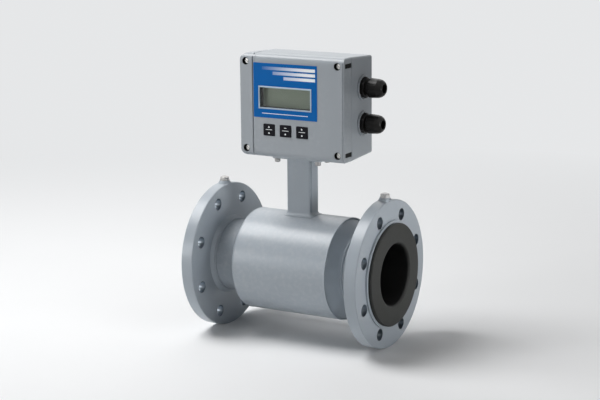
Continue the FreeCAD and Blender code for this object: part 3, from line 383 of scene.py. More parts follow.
@dataclass(frozen=True)
class Moulded(Finish):
    """Plain moulded plastic or rubber."""

    grain: float = 0.00002
    grain_scale: float = 1800.0
    contrast: float = 0.18
    wear: float = 0.2
    wear_scale: float = 400.0
    rubbed: Colour = (0.16, 0.16, 0.16)
    specular: float = 0.5

    def dress(self, tree: Tree, effects: Effects) -> Sockets:
        """A grained, slightly uneven colour with rubbed edges."""
        grain = effects.use(tree, Effect.GRAIN, Scale=self.grain_scale)
        base = tree.mix(grain["Shade"], tint(self.colour, 1 - self.contrast),
                        tint(self.colour, 1 + self.contrast))
        worn = effects.use(tree, Effect.WEAR, Amount=self.wear, Scale=self.wear_scale)["Mask"]
        low, high = self.roughness - 0.06, self.roughness + 0.06
        return {
            "Base Color": tree.mix(worn, self.shaded(tree, base), self.rubbed),
            "Roughness": tree.span(grain["Shade"], 0.25, 0.75, low, high),
            "Specular IOR Level": self.specular,
            "Normal": tree.bump(self.surface(tree, effects, grain), 0.5, self.grain),
        }

    def shaded(self, tree: Tree, base: Any) -> Any:
        """The colour as it changes from place to place, which a plain moulding's doesn't."""
        return base

    def surface(self, tree: Tree, effects: Effects, grain: Any) -> Any:
        """The surface's height, here that of the grain that the colour already uses."""
        return grain["Height"]


@dataclass(frozen=True)
class TurnedRubber(Moulded):
    """Rubber faced on a lathe, with shade painted into the bore."""

    pitch: float = 0.0009
    bore_r: float = 0.0455
    lip_r: float = 0.0495
    # Near-black colour that paints the shade inside the bore.
    bore_shade: Colour = (0.003, 0.003, 0.003)

    def shaded(self, tree: Tree, base: Any) -> Any:
        """Paints the shade of the bore: darkens the colour from the lip inwards."""
        outwards = tree.span(tree.radius(tree.split(tree.place())), self.bore_r, self.lip_r)
        return tree.mix(outwards, self.bore_shade, base)

    def surface(self, tree: Tree, effects: Effects, grain: Any) -> Any:
        """Turned rings in place of the grain."""
        return effects.use(tree, Effect.TURNED, Pitch=self.pitch)["Height"]


@dataclass(frozen=True)
class Metal(Finish):
    """Bare or plated metal."""

    brushed: float = 0.00001
    grain_scale: float = 2600.0
    tarnish: Colour = (0.35, 0.33, 0.30)

    def dress(self, tree: Tree, effects: Effects) -> Sockets:
        """A plated metal that has dull patches."""
        grain = effects.use(tree, Effect.GRAIN, Scale=self.grain_scale)
        patch = tree.span(grain["Shade"], 0.45, 0.75, 0.0, 0.6)
        low, high = self.roughness - 0.05, self.roughness + 0.12
        return {
            "Base Color": tree.mix(patch, self.colour, self.tarnish),
            "Roughness": tree.span(grain["Shade"], 0.3, 0.7, low, high),
            "Metallic": 1.0,
            "Normal": tree.bump(grain["Height"], 0.4, self.brushed),
        }


@dataclass(frozen=True)
class Winding(Finish):
    """Enamelled wire wound round an upright core."""

    wire: float = 0.0005

    def dress(self, tree: Tree, effects: Effects) -> Sockets:
        """Close turns of wire, with shade painted into the grooves between the turns."""
        parts = tree.split(tree.place())
        across = tree.maths("ADD", tree.radius(parts, "XY"), parts["Z"])
        turns = tree.maths("SINE", tree.maths("MULTIPLY", across, math.tau / self.wire))
        # Darker towards the groove between turns: painted shade.
        base = tree.mix(tree.span(turns, -1, 1), tint(self.colour, 0.4), self.colour)
        return {"Base Color": base, "Normal": tree.bump(turns, 0.6, 0.0001)}


@dataclass(frozen=True)
class Pane(Finish):
    """Clear pane with a faint haze."""

    alpha: float = 0.16

    def dress(self, tree: Tree, effects: Effects) -> Sockets:
        """A thin clear film, denser where it is hazy."""
        shade = effects.use(tree, Effect.GRAIN, Scale=700.0)["Shade"]
        return {"Base Color": tree.mix(shade, self.colour, tint(self.colour, 0.8)),
                "Alpha": tree.span(shade, 0.3, 0.8, self.alpha * 0.8, self.alpha * 1.3)}


@dataclass(frozen=True)
class DisplayGlass(Finish):
    """Liquid crystal cell, switched off, with the faint grid of its character cells."""

    cell_w: float = 0.0043
    cell_h: float = 0.0085
    grid: Colour = (0.02, 0.03, 0.02)

    def dress(self, tree: Tree, effects: Effects) -> Sockets:
        """The cell grid over a slow change in shade."""
        parts = tree.split(tree.place())
        lines: List[Any] = []
        for axis, size, line in (("X", self.cell_w, 0.14), ("Z", self.cell_h, 0.10)):
            step = tree.maths("FRACT", tree.maths("DIVIDE", parts[axis], size))
            lines.append(tree.span(step, line, line + 0.05))
        slow = tree.noise(tree.place(), 30.0)
        ground = tree.mix(slow, tint(self.colour, 0.88), tint(self.colour, 1.1))
        darker = tree.mix(0.1, ground, self.grid)
        return {"Base Color": tree.mix(tree.maths("MULTIPLY", *lines), ground, darker)}


@dataclass(frozen=True)
class CircuitBoard(Finish):
    """Solder mask over copper tracks."""

    tracks: float = 260.0

    def dress(self, tree: Tree, effects: Effects) -> Sockets:
        """Tracks that run square to each other under the mask."""
        parts = tree.split(tree.place())
        flat = tree.add("ShaderNodeCombineXYZ", {0: parts["X"], 1: parts["Z"]}).outputs[0]
        bricks = {"Vector": flat, "Scale": self.tracks, "Mortar Size": 0.05, "Mortar Smooth": 0.2}
        copper = tree.add("ShaderNodeTexBrick", bricks).outputs["Fac"]
        return {"Base Color": tree.mix(copper, self.colour, tint(self.colour, 1.8)),
                "Normal": tree.bump(copper, 0.4, 0.00004)}


@dataclass(frozen=True)
class FadingPrint(Finish):
    """Pale print that fades into the foil's own colour towards one side."""

    ground: Colour = (0.0, 0.0, 0.0)
    start_x: float = 0.0
    end_x: float = 1.0

    def dress(self, tree: Tree, effects: Effects) -> Sockets:
        """The fade and the print's dots."""
        along = tree.span(tree.split(tree.place())["X"], self.start_x, self.end_x)
        dots = tree.maths("MULTIPLY", tree.noise(tree.place(), 3200.0, 1.0), 0.10)
        share = tree.span(tree.maths("SUBTRACT", along, dots), 0.0, 0.8)
        return {"Base Color": tree.mix(share, self.ground, self.colour)}


class Finishes:
    """The finish of every material slot, and of the pieces added here."""

    FOIL: Colour = (0.002, 0.120, 0.410)
    WHITE: Colour = (0.90, 0.93, 0.95)

    def __init__(self, effects: Effects) -> None:
        """Lists the finishes.

        Args:
            effects: the shared effects.
        """
        grey = (0.335, 0.375, 0.415)
        cast = (0.325, 0.355, 0.385)
        zinc = (0.33, 0.33, 0.33)
        steel = (0.58, 0.58, 0.57)
        black = (0.012, 0.012, 0.013)
        listed = (
            Paint("body_paint", grey, 0.28),
            FlangePaint("flange_paint", grey, 0.28),
            Paint("housing_paint", cast, 0.29, peel=0.000008, peel_scale=700.0),
            Paint("neck_plate_paint", grey, 0.38),
            Paint("tube_steel", grey, 0.36),
            TurnedRubber("liner_rubber", (0.020, 0.021, 0.019), 0.52, contrast=0.5, specular=0.3),
            Metal("zinc_steel", zinc, 0.28),
            Metal("stainless_screw", steel, 0.28),
            Metal("washer_steel", zinc, 0.36),
            Metal("pin_steel", steel, 0.25),
            Metal("iron_core", (0.25, 0.24, 0.23), 0.55),
            Winding("coil_wire", (0.45, 0.16, 0.05), 0.35),
            Metal("electrode_metal", (0.62, 0.62, 0.61), 0.2),
            Moulded("bush_plastic", (0.72, 0.72, 0.68), 0.4, contrast=0.05),
            Moulded("gasket_rubber", (0.016, 0.016, 0.016), 0.7),
            Moulded("label_foil", self.FOIL, 0.5, grain=0.000004, contrast=0.05, wear=0.0,
                    specular=0.08),
            Moulded("white_print", self.WHITE, 0.5, grain=0.000004, contrast=0.03, wear=0.0,
                    specular=0.2),
            Moulded("bezel_plastic", (0.40, 0.50, 0.60), 0.4, contrast=0.05,
                    rubbed=(0.6, 0.6, 0.6)),
            Pane("window_pane", (0.75, 0.78, 0.78), 0.06, alpha=0.06),
            Moulded("shroud_plastic", black, 0.6, specular=0.2),
            DisplayGlass("lcd_glass", (0.145, 0.198, 0.118), 0.45),
            Moulded("keeper_plastic", (0.006, 0.006, 0.006), 0.6, specular=0.1, wear=0.0),
            CircuitBoard("circuit_board", (0.012, 0.13, 0.045), 0.35),
            Moulded("chip_plastic", (0.02, 0.02, 0.022), 0.45),
            Moulded("switch_plastic", (0.03, 0.03, 0.032), 0.45),
            Moulded("key_plastic", (0.003, 0.003, 0.006), 0.5, wear=0.1, rubbed=(0.04, 0.04, 0.05),
                    specular=0.1),
            Moulded("transformer_resin", (0.03, 0.05, 0.12), 0.3),
            Moulded("terminal_plastic", (0.03, 0.25, 0.08), 0.4),
            Moulded("relay_plastic", (0.62, 0.62, 0.58), 0.4, contrast=0.05),
            Moulded("capacitor_foil", (0.02, 0.03, 0.10), 0.3),
            Moulded("gland_plastic", (0.0035, 0.003, 0.0025), 0.34, wear=0.1,
                    rubbed=(0.04, 0.04, 0.04), specular=0.25),
            Metal("locknut_metal", (0.60, 0.56, 0.48), 0.3),
            Metal("solder", (0.60, 0.60, 0.60), 0.25),
            Moulded("chip_resistor", (0.05, 0.05, 0.06), 0.35),
        )
        self.effects = effects
        self.listed = {finish.name: finish for finish in listed}
        self.made: Dict[str, bpy.types.Material] = {}

    def get(self, name: str) -> bpy.types.Material:
        """Builds a listed finish's material once.

        Args:
            name: the finish's name.

        Returns:
            The material.
        """
        if name not in self.made:
            self.made[name] = self.listed[name].material(self.effects)
        return self.made[name]

    def own(self, finish: Finish) -> bpy.types.Material:
        """Builds the material of a finish that isn't listed yet."""
        self.listed[finish.name] = finish
        return self.get(finish.name)


# --- meshes ---
class Mesher:
    """Collects faces for one piece."""

    def __init__(self) -> None:
        """Starts empty."""
        self.points: List[Vector] = []
        self.faces: List[Tuple[int, ...]] = []

    def grid(self, rows: Sequence[Sequence[Vector]], closed_rows: bool = False,
             caps: bool = False) -> None:
        """Adds a skin over rows of points, each of which is a closed line.

        Args:
            rows: rows of equally many points.
            closed_rows: whether the last row joins the first.
            caps: whether the first and last rows are closed by a face.
        """
        start = len(self.points)
        width = len(rows[0])
        for row in rows:
            self.points.extend(row)
        for i in range(len(rows) if closed_rows else len(rows) - 1):
            for j in range(width):
                a = start + i * width
                b = start + (i + 1) % len(rows) * width
                k = (j + 1) % width
                self.faces.append((a + j, a + k, b + k, b + j))
        if caps:
            last = start + (len(rows) - 1) * width
            self.faces.append(tuple(start + width - 1 - j for j in range(width)))
            self.faces.append(tuple(last + j for j in range(width)))

    def prism(self, outline: Sequence[Spot], y0: float, y1: float) -> None:
        """Adds a flat piece that lies in a plane across Y.

        Args:
            outline: (x, z) points, anticlockwise as seen from -Y.
            y0: front.
            y1: back.
        """
        front = [Vector((x, y0, z)) for x, z in outline]
        back = [Vector((x, y1, z)) for x, z in outline]
        self.grid((back, front), caps=True)

    def block(self, low: Point, high: Point, edge: float = 0.0) -> None:
        """Adds a box.

        Args:
            low: lowest corner.
            high: highest corner.
            edge: size of the bevel on the edges along Y, or 0 for none.
        """
        x0, y0, z0 = low
        x1, y1, z1 = high
        outline = [(x0, z0), (x1, z0), (x1, z1), (x0, z1)]
        if edge:
            outline = [(x0 + edge, z0), (x1 - edge, z0), (x1, z0 + edge), (x1, z1 - edge),
                       (x1 - edge, z1), (x0 + edge, z1), (x0, z1 - edge), (x0, z0 + edge)]
        self.prism(outline, y0, y1)

    def piece(self, name: str, material: bpy.types.Material, body: str,
              smooth: bool = False) -> None:
        """Makes the object from what was collected.

        Args:
            name: the piece's name.
            material: its material.
            body: the CAD body that it rides on.
            smooth: whether its faces are shaded smooth.
        """
        mesh = bpy.data.meshes.new(name)
        mesh.from_pydata(self.points, [], self.faces)
        work = bmesh.new()
        work.from_mesh(mesh)
        bmesh.ops.recalc_face_normals(work, faces=work.faces)
        work.to_mesh(mesh)
        work.free()
        if smooth:
            mesh.shade_smooth()
        mesh.materials.append(material)
        made = bpy.data.objects.new(name, mesh)
        bpy.context.scene.collection.objects.link(made)
        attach(made, body)
        log.info("%s: %d faces on %s", name, len(mesh.polygons), body)


def circle(centre: Vector, radius: float, first: Vector, second: Vector,
           count: int) -> List[Vector]:
    """Points on a circle in the plane of two unit vectors that are square to each other."""
    angles = [math.tau * k / count for k in range(count)]
    return [centre + radius * (math.cos(a) * first + math.sin(a) * second) for a in angles]


@dataclass(frozen=True)
class WeldBead:
    """Rippled bead along a closed path."""

    radius: float
    ripple: float = 0.22 * MM
    pitch: float = 3.4 * MM
    section: int = 10

    def lay(self, mesher: Mesher, path: Sequence[Vector]) -> None:
        """Adds the bead to a piece.

        Args:
            mesher: the piece.
            path: closed path, evenly spaced.
        """
        rows: List[List[Vector]] = []
        travelled = 0.0
        for k, point in enumerate(path):
            following = path[(k + 1) % len(path)]
            ahead = (following - path[k - 1]).normalized()
            side = ahead.cross(Z)
            if side.length < 0.1:
                side = ahead.cross(X)
            side.normalize()
            phase = (travelled / self.pitch) % 1.0
            size = self.radius + self.ripple * (1 - 2 * phase)
            rows.append(circle(point, size, side, side.cross(ahead), self.section))
            travelled += (following - point).length
        mesher.grid(rows, closed_rows=True)


@dataclass(frozen=True)
class Thread:
    """Outer screw thread along an axis."""

    major: float
    depth: float
    pitch: float
    per_turn: int = 32
    per_pitch: int = 8

    def cut(self, mesher: Mesher, start: Vector, axis: Vector, length: float) -> None:
        """Adds the thread to a piece.

        Args:
            mesher: the piece.
            start: where it starts, on its axis.
            axis: unit vector along it.
            length: its length.
        """
        first = axis.orthogonal().normalized()
        second = axis.cross(first)
        rows: List[List[Vector]] = []
        steps = max(4, int(length / self.pitch * self.per_pitch))
        for k in range(steps + 1):
            along = length * k / steps
            row: List[Vector] = []
            for turn in (j / self.per_turn for j in range(self.per_turn)):
                wave = abs(((along / self.pitch - turn) % 1.0) * 2 - 1)
                radius = self.major - self.depth * wave
                angle = math.tau * turn
                out = math.cos(angle) * first + math.sin(angle) * second
                row.append(start + axis * along + radius * out)
            rows.append(row)
        mesher.grid(rows, caps=True)


# --- sub-assemblies ---
@dataclass
class Welds:
    """The weld beads of the sensor: drum seams, tube joints, flange backs and the neck's plate."""

    finishes: Finishes
    seam: WeldBead = WeldBead(1.2 * MM)
    seam_sunk: float = 0.7
    joint: WeldBead = WeldBead(1.7 * MM)
    joint_raised: float = 0.3
    plate: WeldBead = WeldBead(1.1 * MM)
    plate_sunk: float = 0.3 * MM
    corner: float = 2.5 * MM
    foot: float = 5.6 * MM
    step: float = 0.55 * MM

    def build(self) -> None:
        """Makes the beads as two pieces."""
        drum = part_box("coil_drum")[1]
        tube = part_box("measuring_tube")[1].z + self.joint_raised * self.joint.radius
        beads = ((self.seam, drum.x, drum.z - self.seam_sunk * self.seam.radius),
                 (self.joint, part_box("outlet_end_plate")[1].x, tube),
                 (self.joint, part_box("outlet_flange")[0].x, tube))
        rings = Mesher()
        for side in (-1.0, 1.0):
            for bead, x, radius in beads:
                count = int(math.tau * radius / self.step)
                bead.lay(rings, circle(Vector((side * x, 0, 0)), radius, Y, Z, count))
        paint = self.finishes.get("body_paint")
        rings.piece("ring_welds", paint, "meter", smooth=True)
        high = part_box("neck")[1]
        neck = Mesher()
        self.plate.lay(neck, [Vector((x, y, high.z - self.plate_sunk)) for x, y in
                              self._rounded(high.x - self.foot, high.y - self.foot)])
        neck.piece("neck_weld", paint, "meter", smooth=True)

    def _rounded(self, half_w: float, half_d: float) -> List[Spot]:
        """Evenly spaced points on a rounded rectangle.

        Args:
            half_w: half its width.
            half_d: half its depth.

        Returns:
            (x, y) points, anticlockwise.
        """
        w, d = half_w - self.corner, half_d - self.corner
        centres = ((w, d), (-w, d), (-w, -d), (w, -d))
        turns = max(3, int(math.pi / 2 * self.corner / self.step))
        found: List[Spot] = []
        for quarter, (x, y) in enumerate(centres):
            for k in range(turns + 1):
                angle = math.pi / 2 * (quarter + k / turns)
                found.append((x + self.corner * math.cos(angle), y + self.corner * math.sin(angle)))
            (end_x, end_y), (next_x, next_y) = found[-1], centres[(quarter + 1) % 4]
            run_x, run_y = next_x - x, next_y - y
            steps = max(1, int(math.hypot(run_x, run_y) / self.step))
            found += [(end_x + run_x * k / steps, end_y + run_y * k / steps)
                      for k in range(1, steps)]
        return found


@dataclass
class GlandSeats:
    """Raised round pads on the housing's side, one about each cable gland."""

    finishes: Finishes
    outer_r: float = 18.3 * MM
    inner_r: float = 15.9 * MM
    rise: float = 2.8 * MM
    sink: float = 0.3 * MM
    edge: float = 0.7 * MM
    edge_steps: int = 4
    steps: int = 96

    def build(self) -> None:
        """Makes the two pads as one piece."""
        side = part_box("door")[1].x
        foot, top = side - self.sink, side + self.rise
        pads = Mesher()
        for which in ("upper", "lower"):
            low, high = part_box(which + "_gland_washer")
            middle = (low + high) / 2
            profile = [(foot, self.outer_r), (top - self.edge, self.outer_r)]
            for k in range(1, self.edge_steps + 1):
                turn = math.pi / 2 * k / self.edge_steps
                profile.append((top - self.edge * (1 - math.sin(turn)),
                                self.outer_r - self.edge * (1 - math.cos(turn))))
            profile += [(top, self.inner_r), (foot, self.inner_r)]
            rows = [circle(Vector((x, middle.y, middle.z)), radius, Y, Z, self.steps)
                    for x, radius in profile]
            pads.grid(rows, closed_rows=True)
        paint = self.finishes.get("housing_paint")
        pads.piece("gland_seats", paint, "meter", smooth=True)


@dataclass
class RecessShadeSleeves:
    """Black sleeves in the recesses of the four cover screws, a dark sheet that paints in the shade
    of the deep recesses.
    """

    finishes: Finishes
    outer_r: float = 5.45 * MM
    inner_r: float = 4.7 * MM
    set_back: float = 0.7 * MM
    depth: float = 6.9 * MM
    steps: int = 48

    def build(self) -> None:
        """Makes one piece for the strip's two screws and one for the door's."""
        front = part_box("door")[0].y
        profile = ((self.set_back, self.outer_r), (self.depth, self.outer_r),
                   (self.depth, self.inner_r), (self.set_back, self.inner_r))
        # The black sleeves paint in the shade of the deep screw recesses.
        plastic = self.finishes.get("keeper_plastic")
        for node, body in (("strip_screws", "meter"), ("door_screws", "door")):
            low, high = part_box(node)
            x, head_r = (low.x + high.x) / 2, (high.x - low.x) / 2
            shade_sleeves = Mesher()
            for z in (low.z + head_r, high.z - head_r):
                rows = [circle(Vector((x, front + y, z)), radius, X, Z, self.steps)
                        for y, radius in profile]
                shade_sleeves.grid(rows, closed_rows=True)
            shade_sleeves.piece(node + "_sleeves", plastic, body)


class KeyMark(Enum):
    """The sign on each key: the key's node, and the sign's outline in millimetres."""

    UP = ("left_key", ((-1.6, -1.2), (1.6, -1.2), (0.0, 1.6)))
    DASH = ("middle_key", ((-1.9, -0.4), (1.9, -0.4), (1.9, 0.4), (-1.9, 0.4)))
    RIGHT = ("right_key", ((-1.2, -1.6), (1.6, 0.0), (-1.2, 1.6)))

    def __init__(self, node: str, outline: Sequence[Spot]) -> None:
        """Keeps both by name."""
        self.node = node
        self.outline = outline


@dataclass
class FrontPanel:
    """Print on the door's foil and marks on the keys."""

    finishes: Finishes
    print_t: float = 0.03 * MM
    bars: int = 3
    bar_h: float = 4.6 * MM
    bar_gap: float = 2.3 * MM
    bar_top: float = 5.0 * MM
    bar_right: float = 3.0 * MM
    bar_start: float = 0.14
    bar_shift: float = 0.17
    fade_start: float = 0.12
    fade_right: float = 6.0 * MM
    rule_inset: float = 6.0 * MM
    rule_half: float = 0.45 * MM
    mark_t: float = 0.06 * MM
    sign_up: float = 4.6 * MM
    dash_half: float = 5.4 * MM
    dash_low: float = 0.1 * MM
    dash_high: float = 0.9 * MM
    dot_r: float = 1.25 * MM
    dot_steps: int = 20

    def build(self) -> None:
        """Makes the print and the marks."""
        self._bars()
        self._rule()
        for which in KeyMark:
            self._mark(which)

    def _bars(self) -> None:
        """Makes the fading bars on the foil, each shorter than the last."""
        low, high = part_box("front_label")
        width = high.x - low.x
        bars = Mesher()
        for k in range(self.bars):
            z1 = high.z - self.bar_top - k * (self.bar_h + self.bar_gap)
            x0 = low.x + width * (self.bar_start + self.bar_shift * k)
            bars.block((x0, low.y - self.print_t, z1 - self.bar_h),
                       (high.x - self.bar_right, low.y, z1))
        faded = FadingPrint("fading_print", Finishes.WHITE, 0.35, ground=Finishes.FOIL,
                            start_x=low.x + self.fade_start * width,
                            end_x=high.x - self.fade_right)
        bars.piece("label_bars", self.finishes.own(faded), "door")

    def _rule(self) -> None:
        """Makes the thin pale rule under the display."""
        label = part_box("front_label")[0]
        low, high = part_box("display_bezel")
        z = (label.z + low.z) / 2
        rule = Mesher()
        rule.block((low.x + self.rule_inset, label.y - self.print_t, z - self.rule_half),
                   (high.x - self.rule_inset, label.y, z + self.rule_half))
        rule.piece("label_rule", self.finishes.get("white_print"), "door")

    def _mark(self, which: KeyMark) -> None:
        """Makes the mark on one key: a sign, a bar and a dot.

        Args:
            which: the key.
        """
        low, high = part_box(which.node)
        x, z = (low.x + high.x) / 2, (low.z + high.z) / 2
        front = low.y - self.mark_t
        marks = Mesher()
        sign = [(x + across * MM, z + self.sign_up + up * MM) for across, up in which.outline]
        marks.prism(sign, front, low.y)
        marks.block((x - self.dash_half, front, z + self.dash_low),
                    (x + self.dash_half, low.y, z + self.dash_high))
        dot = circle(Vector((x, front, z - self.sign_up)), self.dot_r, X, Z, self.dot_steps)
        marks.prism([(point.x, point.z) for point in dot], front, low.y)
        white = self.finishes.get("white_print")
        marks.piece(which.node + "_mark", white, which.node)


@dataclass
class Threads:
    """Screw threads that show: under the gland nuts and on the door's screws."""

    finishes: Finishes
    gland: Thread = Thread(10.58 * MM, 0.5 * MM, 1.5 * MM, 48)
    gland_collar: float = 15.0 * MM
    screw: Thread = Thread(2.46 * MM, 0.3 * MM, 0.8 * MM, 24)
    screw_head_r: float = 4.0 * MM
    screw_end: float = 6.0 * MM
    screw_length: float = 5.8 * MM

    def build(self) -> None:
        """Makes the threads."""
        plastic = self.finishes.get("gland_plastic")
        for which in ("upper", "lower"):
            low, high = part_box(which + "_gland_body")
            collar_x = high.x - self.gland_collar
            start = Vector((collar_x, (low.y + high.y) / 2, (low.z + high.z) / 2))
            thread = Mesher()
            self.gland.cut(thread, start, X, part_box(which + "_gland_nut")[0].x - collar_x)
            thread.piece(which + "_gland_thread", plastic, "meter")
        low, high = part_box("door_screws")
        threads = Mesher()
        for z in (low.z + self.screw_head_r, high.z - self.screw_head_r):
            start = Vector(((low.x + high.x) / 2, high.y - self.screw_end, z))
            self.screw.cut(threads, start, Y, self.screw_length)
        steel = self.finishes.get("stainless_screw")
        threads.piece("door_screw_threads", steel, "door")


@dataclass
class BoardParts:
    """Small parts soldered on the two boards."""

    finishes: Finishes
    resistor: Point = (2.0 * MM, 0.6 * MM, 1.2 * MM)
    pitch: float = 3.4 * MM
    lip: float = 0.35 * MM
    solder_t: float = 0.05 * MM
    leg_pitch: float = 1.27 * MM
    leg_half: float = 0.22 * MM
    leg_t: float = 0.9 * MM
    leg_l: float = 1.0 * MM
    display_rows: Tuple[int, ...] = (9, 6, 11)
    display_first: Spot = (16.0 * MM, 12.0 * MM)
    display_rise: float = 15.0 * MM
    display_chip_w: float = 18.0 * MM
    display_chip_below: Spot = (13.8 * MM, 2.0 * MM)
    main_rows: Tuple[int, ...] = (12, 14, 10)
    main_first: Spot = (14.0 * MM, 32.0 * MM)
    main_rise: float = 6.0 * MM
    main_chip: Point = (14.0 * MM, 2.0 * MM, 14.0 * MM)
    main_chip_place: Spot = (34.0 * MM, 36.0 * MM)
    chip_edge: float = 0.6 * MM

    def _row(self, bodies: Mesher, ends: Mesher, start: Point, count: int, side: float) -> None:
        """Adds a row of chip resistors.

        Args:
            bodies: takes the bodies.
            ends: takes the soldered ends.
            start: centre of the first on the board's face.
            count: how many.
            side: -1 where they stand towards -Y.
        """
        wide, tall, high = self.resistor
        face, z0, z1 = start[1], start[2] - high / 2, start[2] + high / 2
        y0, y1 = sorted((face, face + side * tall))
        solder_y0, solder_y1 = sorted((face, face + side * (tall + self.solder_t)))
        for k in range(count):
            x = start[0] + k * self.pitch
            bodies.block((x - wide / 2, y0, z0), (x + wide / 2, y1, z1))
            for edge in (x - wide / 2, x + wide / 2):
                ends.block((edge - self.lip, solder_y0, z0), (edge + self.lip, solder_y1, z1))

    def _legs(self, ends: Mesher, low: Vector, high: Vector, side: float) -> None:
        """Adds the legs along a chip's two long sides.

        Args:
            ends: takes the legs.
            low: the chip's lowest corner, on the board's face.
            high: the chip's highest corner.
            side: -1 where the chip stands towards -Y.
        """
        count = int((high.x - low.x) / self.leg_pitch)
        y0, y1 = sorted((low.y, low.y + side * self.leg_t))
        for k in range(count):
            x = low.x + (k + 0.5) * (high.x - low.x) / count
            for z0, z1 in ((low.z - self.leg_l, low.z), (high.z, high.z + self.leg_l)):
                ends.block((x - self.leg_half, y0, z0), (x + self.leg_half, y1, z1))

    def build(self) -> None:
        """Makes the small parts of both boards."""
        self._display()
        self._main()

    def _display(self) -> None:
        """Makes the small parts on the back of the display board."""
        low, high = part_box("display_board")
        bodies, ends = Mesher(), Mesher()
        x, z = low.x + self.display_first[0], low.z + self.display_first[1]
        for k, count in enumerate(self.display_rows):
            self._row(bodies, ends, (x, high.y, z + k * self.display_rise), count, 1.0)
        (x, _, _), (_, _, top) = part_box("display_board_chips")
        deep, shallow = self.display_chip_below
        self._legs(ends, Vector((x, high.y, top - deep)),
                   Vector((x + self.display_chip_w, high.y, top - shallow)), 1.0)
        self._pieces("display_board", "door", bodies, ends)

    def _main(self) -> None:
        """Makes the small parts on the front of the main board."""
        low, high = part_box("main_board")
        bodies, ends = Mesher(), Mesher()
        x, z = low.x + self.main_first[0], low.z + self.main_first[1]
        for k, count in enumerate(self.main_rows):
            self._row(bodies, ends, (x, low.y, z + k * self.main_rise), count, -1.0)
        wide, thick, tall = self.main_chip
        along, up = self.main_chip_place
        chip = Vector(((low.x + high.x) / 2 + along, low.y, low.z + up))
        opposite = chip + Vector((wide, 0, tall))
        bodies.block((chip.x, low.y - thick, chip.z), tuple(opposite), self.chip_edge)
        self._legs(ends, chip, opposite, -1.0)
        self._pieces("main_board", "meter", bodies, ends)

    def _pieces(self, board: str, body: str, bodies: Mesher, ends: Mesher) -> None:
        """Makes a board's two pieces from what was collected."""
        bodies.piece(board + "_resistors", self.finishes.get("chip_resistor"), body)
        ends.piece(board + "_solder", self.finishes.get("solder"), body)


# --- stage ---
@dataclass(frozen=True)
class Onlooker:
    """What stands round the meter and looks at it.

    Azimuth 0 is in front of the display and 90 at the outlet. Elevation is above the horizon.
    """

    name: str
    azimuth: float
    elevation: float
    distance: float

    def stand(self, data: bpy.types.ID, aim: Point) -> bpy.types.Object:
        """Makes the object, turned towards a point.

        Args:
            data: its light or camera data.
            aim: the point.

        Returns:
            The object.
        """
        turn, rise = math.radians(self.azimuth), math.radians(self.elevation)
        level = math.cos(rise)
        away = Vector((math.sin(turn) * level, -math.cos(turn) * level, math.sin(rise)))
        made = bpy.data.objects.new(self.name, data)
        bpy.context.scene.collection.objects.link(made)
        made.location = Vector(aim) + away * self.distance
        made.rotation_mode = "QUATERNION"
        made.rotation_quaternion = (-away).to_track_quat("-Z", "Y")
        return made


@dataclass(frozen=True)
class Lamp(Onlooker):
    """Soft square lamp."""

    size: float
    power: float
    aim: Point = (0.0, 0.0, 0.1)
    spread: float = 180.0

    def build(self) -> None:
        """Makes the lamp."""
        data = bpy.data.lights.new(self.name, "AREA")
        data.shape = "SQUARE"
        data.size = self.size
        data.energy = self.power
        data.spread = math.radians(self.spread)
        self.stand(data, self.aim)


@dataclass(frozen=True)
class Viewpoint(Onlooker):
    """The camera."""

    name: str = "camera"
    azimuth: float = 30.02
    elevation: float = 12.12
    distance: float = 2.505
    roll: float = -0.53
    lens: float = 100.63
    sensor: float = 36.0
    aim: Point = (-0.00477, 0.0, 0.09588)

    def build(self) -> None:
        """Makes the camera and gives it to the scene."""
        data = bpy.data.cameras.new(self.name)
        data.lens = self.lens
        data.sensor_width = self.sensor
        data.clip_start, data.clip_end = 0.05, 100.0
        made = self.stand(data, self.aim)
        level = made.rotation_quaternion.to_matrix().to_4x4()
        rolled = Matrix.Rotation(math.radians(self.roll), 4, "Z")
        made.rotation_quaternion = (level @ rolled).to_quaternion()
        bpy.context.scene.camera = made


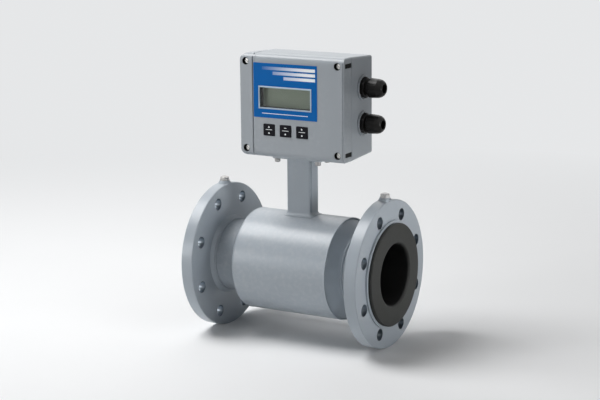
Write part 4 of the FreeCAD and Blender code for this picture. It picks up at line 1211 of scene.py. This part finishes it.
@dataclass
class Stage:
    """Pale floor, plain surroundings and soft lamps."""

    backdrop: Colour = (0.79, 0.80, 0.81)
    floor: Colour = (0.86, 0.865, 0.87)
    mottle: float = 0.985
    mottle_scale: float = 9.0
    ambient: float = 0.14
    floor_r: float = 30.0
    floor_steps: int = 64
    near: float = 0.35
    far: float = 1.6
    lamps: Tuple[Lamp, ...] = (
        Lamp("key_lamp", -72.0, 58.0, 2.4, 1.3, 55.0),
        Lamp("side_lamp", 84.0, 40.0, 2.6, 1.3, 4.6),
        Lamp("back_lamp", -146.0, 40.0, 2.4, 1.8, 14.0),
        Lamp("low_lamp", -42.0, 7.0, 2.4, 0.7, 12.4),
        Lamp("flange_lamp", 84.0, 6.0, 0.9, 0.25, 0.16, aim=(0.15, 0.0, 0.05), spread=28.0),
    )

    def build(self) -> None:
        """Makes the floor, the world and the lamps."""
        self._floor(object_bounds()[0].z)
        self._world()
        for lamp in self.lamps:
            lamp.build()

    def _floor(self, z: float) -> None:
        """Makes the floor, which turns into the backdrop's colour far off.

        Args:
            z: its height.
        """
        made = bpy.data.materials.new("floor")
        made.use_nodes = True
        tree = Tree(made.node_tree)
        radius = tree.radius(tree.split(tree.place()), "XY")
        mottled = tree.noise(tree.place(), self.mottle_scale)
        shade = tree.mix(mottled, tint(self.floor, self.mottle), self.floor)
        matt = tree.add("ShaderNodeBsdfDiffuse", {"Color": shade}).outputs[0]
        glow = tree.add("ShaderNodeEmission", {"Color": self.backdrop}).outputs[0]
        outwards = tree.span(radius, self.near, self.far)
        blend = tree.add("ShaderNodeMixShader", {0: outwards, 1: matt, 2: glow}).outputs[0]
        seen = tree.add("ShaderNodeLightPath").outputs["Is Camera Ray"]
        whole = tree.add("ShaderNodeMixShader", {0: seen, 1: matt, 2: blend}).outputs[0]
        tree.add("ShaderNodeOutputMaterial", {"Surface": whole})
        mesh = bpy.data.meshes.new("floor")
        ring = circle(Vector((0, 0, z)), self.floor_r, X, Y, self.floor_steps)
        mesh.from_pydata(ring, [], [tuple(range(self.floor_steps))])
        mesh.materials.append(made)
        floor = bpy.data.objects.new("floor", mesh)
        bpy.context.scene.collection.objects.link(floor)
        floor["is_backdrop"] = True

    def _world(self) -> None:
        """Makes the surroundings: the backdrop to the camera and in mirrors, else soft light."""
        world = bpy.data.worlds.new("surroundings")
        world.use_nodes = True
        tree = Tree(world.node_tree)
        path = tree.add("ShaderNodeLightPath").outputs
        seen = path["Is Camera Ray"]
        for ray in ("Is Transmission Ray", "Is Glossy Ray"):
            seen = tree.maths("MAXIMUM", seen, path[ray])
        strength = tree.span(seen, 0.0, 1.0, self.ambient, 1.0)
        light = {"Color": self.backdrop, "Strength": strength}
        back = tree.add("ShaderNodeBackground", light).outputs[0]
        tree.add("ShaderNodeOutputWorld", {"Surface": back})
        bpy.context.scene.world = world


def dress_nodes(frame: Dict[str, Any], finishes: Finishes) -> None:
    """Gives every CAD node the finish of its material slot, except the two flanges, which get the
    flange paint.

    Args:
        finishes: the finishes.
    """
    flanges = ("inlet_flange", "outlet_flange")
    for part in frame["record"]["subparts"]:
        node = frame["nodes"][part["node"]]
        name = "flange_paint" if part["node"] in flanges else part["material_slot"]
        material = finishes.get(name)
        if not node.material_slots:
            node.data.materials.append(material)
        for slot in node.material_slots:
            slot.material = material


def main() -> None:
    """Loads the frame and builds everything round it."""
    logging.basicConfig(level=logging.INFO, format="%(message)s")
    for listed in list(bpy.data.objects):
        bpy.data.objects.remove(listed)
    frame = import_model()
    finishes = Finishes(Effects())
    dress_nodes(frame, finishes)
    Welds(finishes).build()
    GlandSeats(finishes).build()
    RecessShadeSleeves(finishes).build()
    FrontPanel(finishes).build()
    Threads(finishes).build()
    BoardParts(finishes).build()
    Stage().build()
    Viewpoint().build()
    bpy.context.scene.view_settings.view_transform = "Standard"


if __name__ == "__main__":
    main()
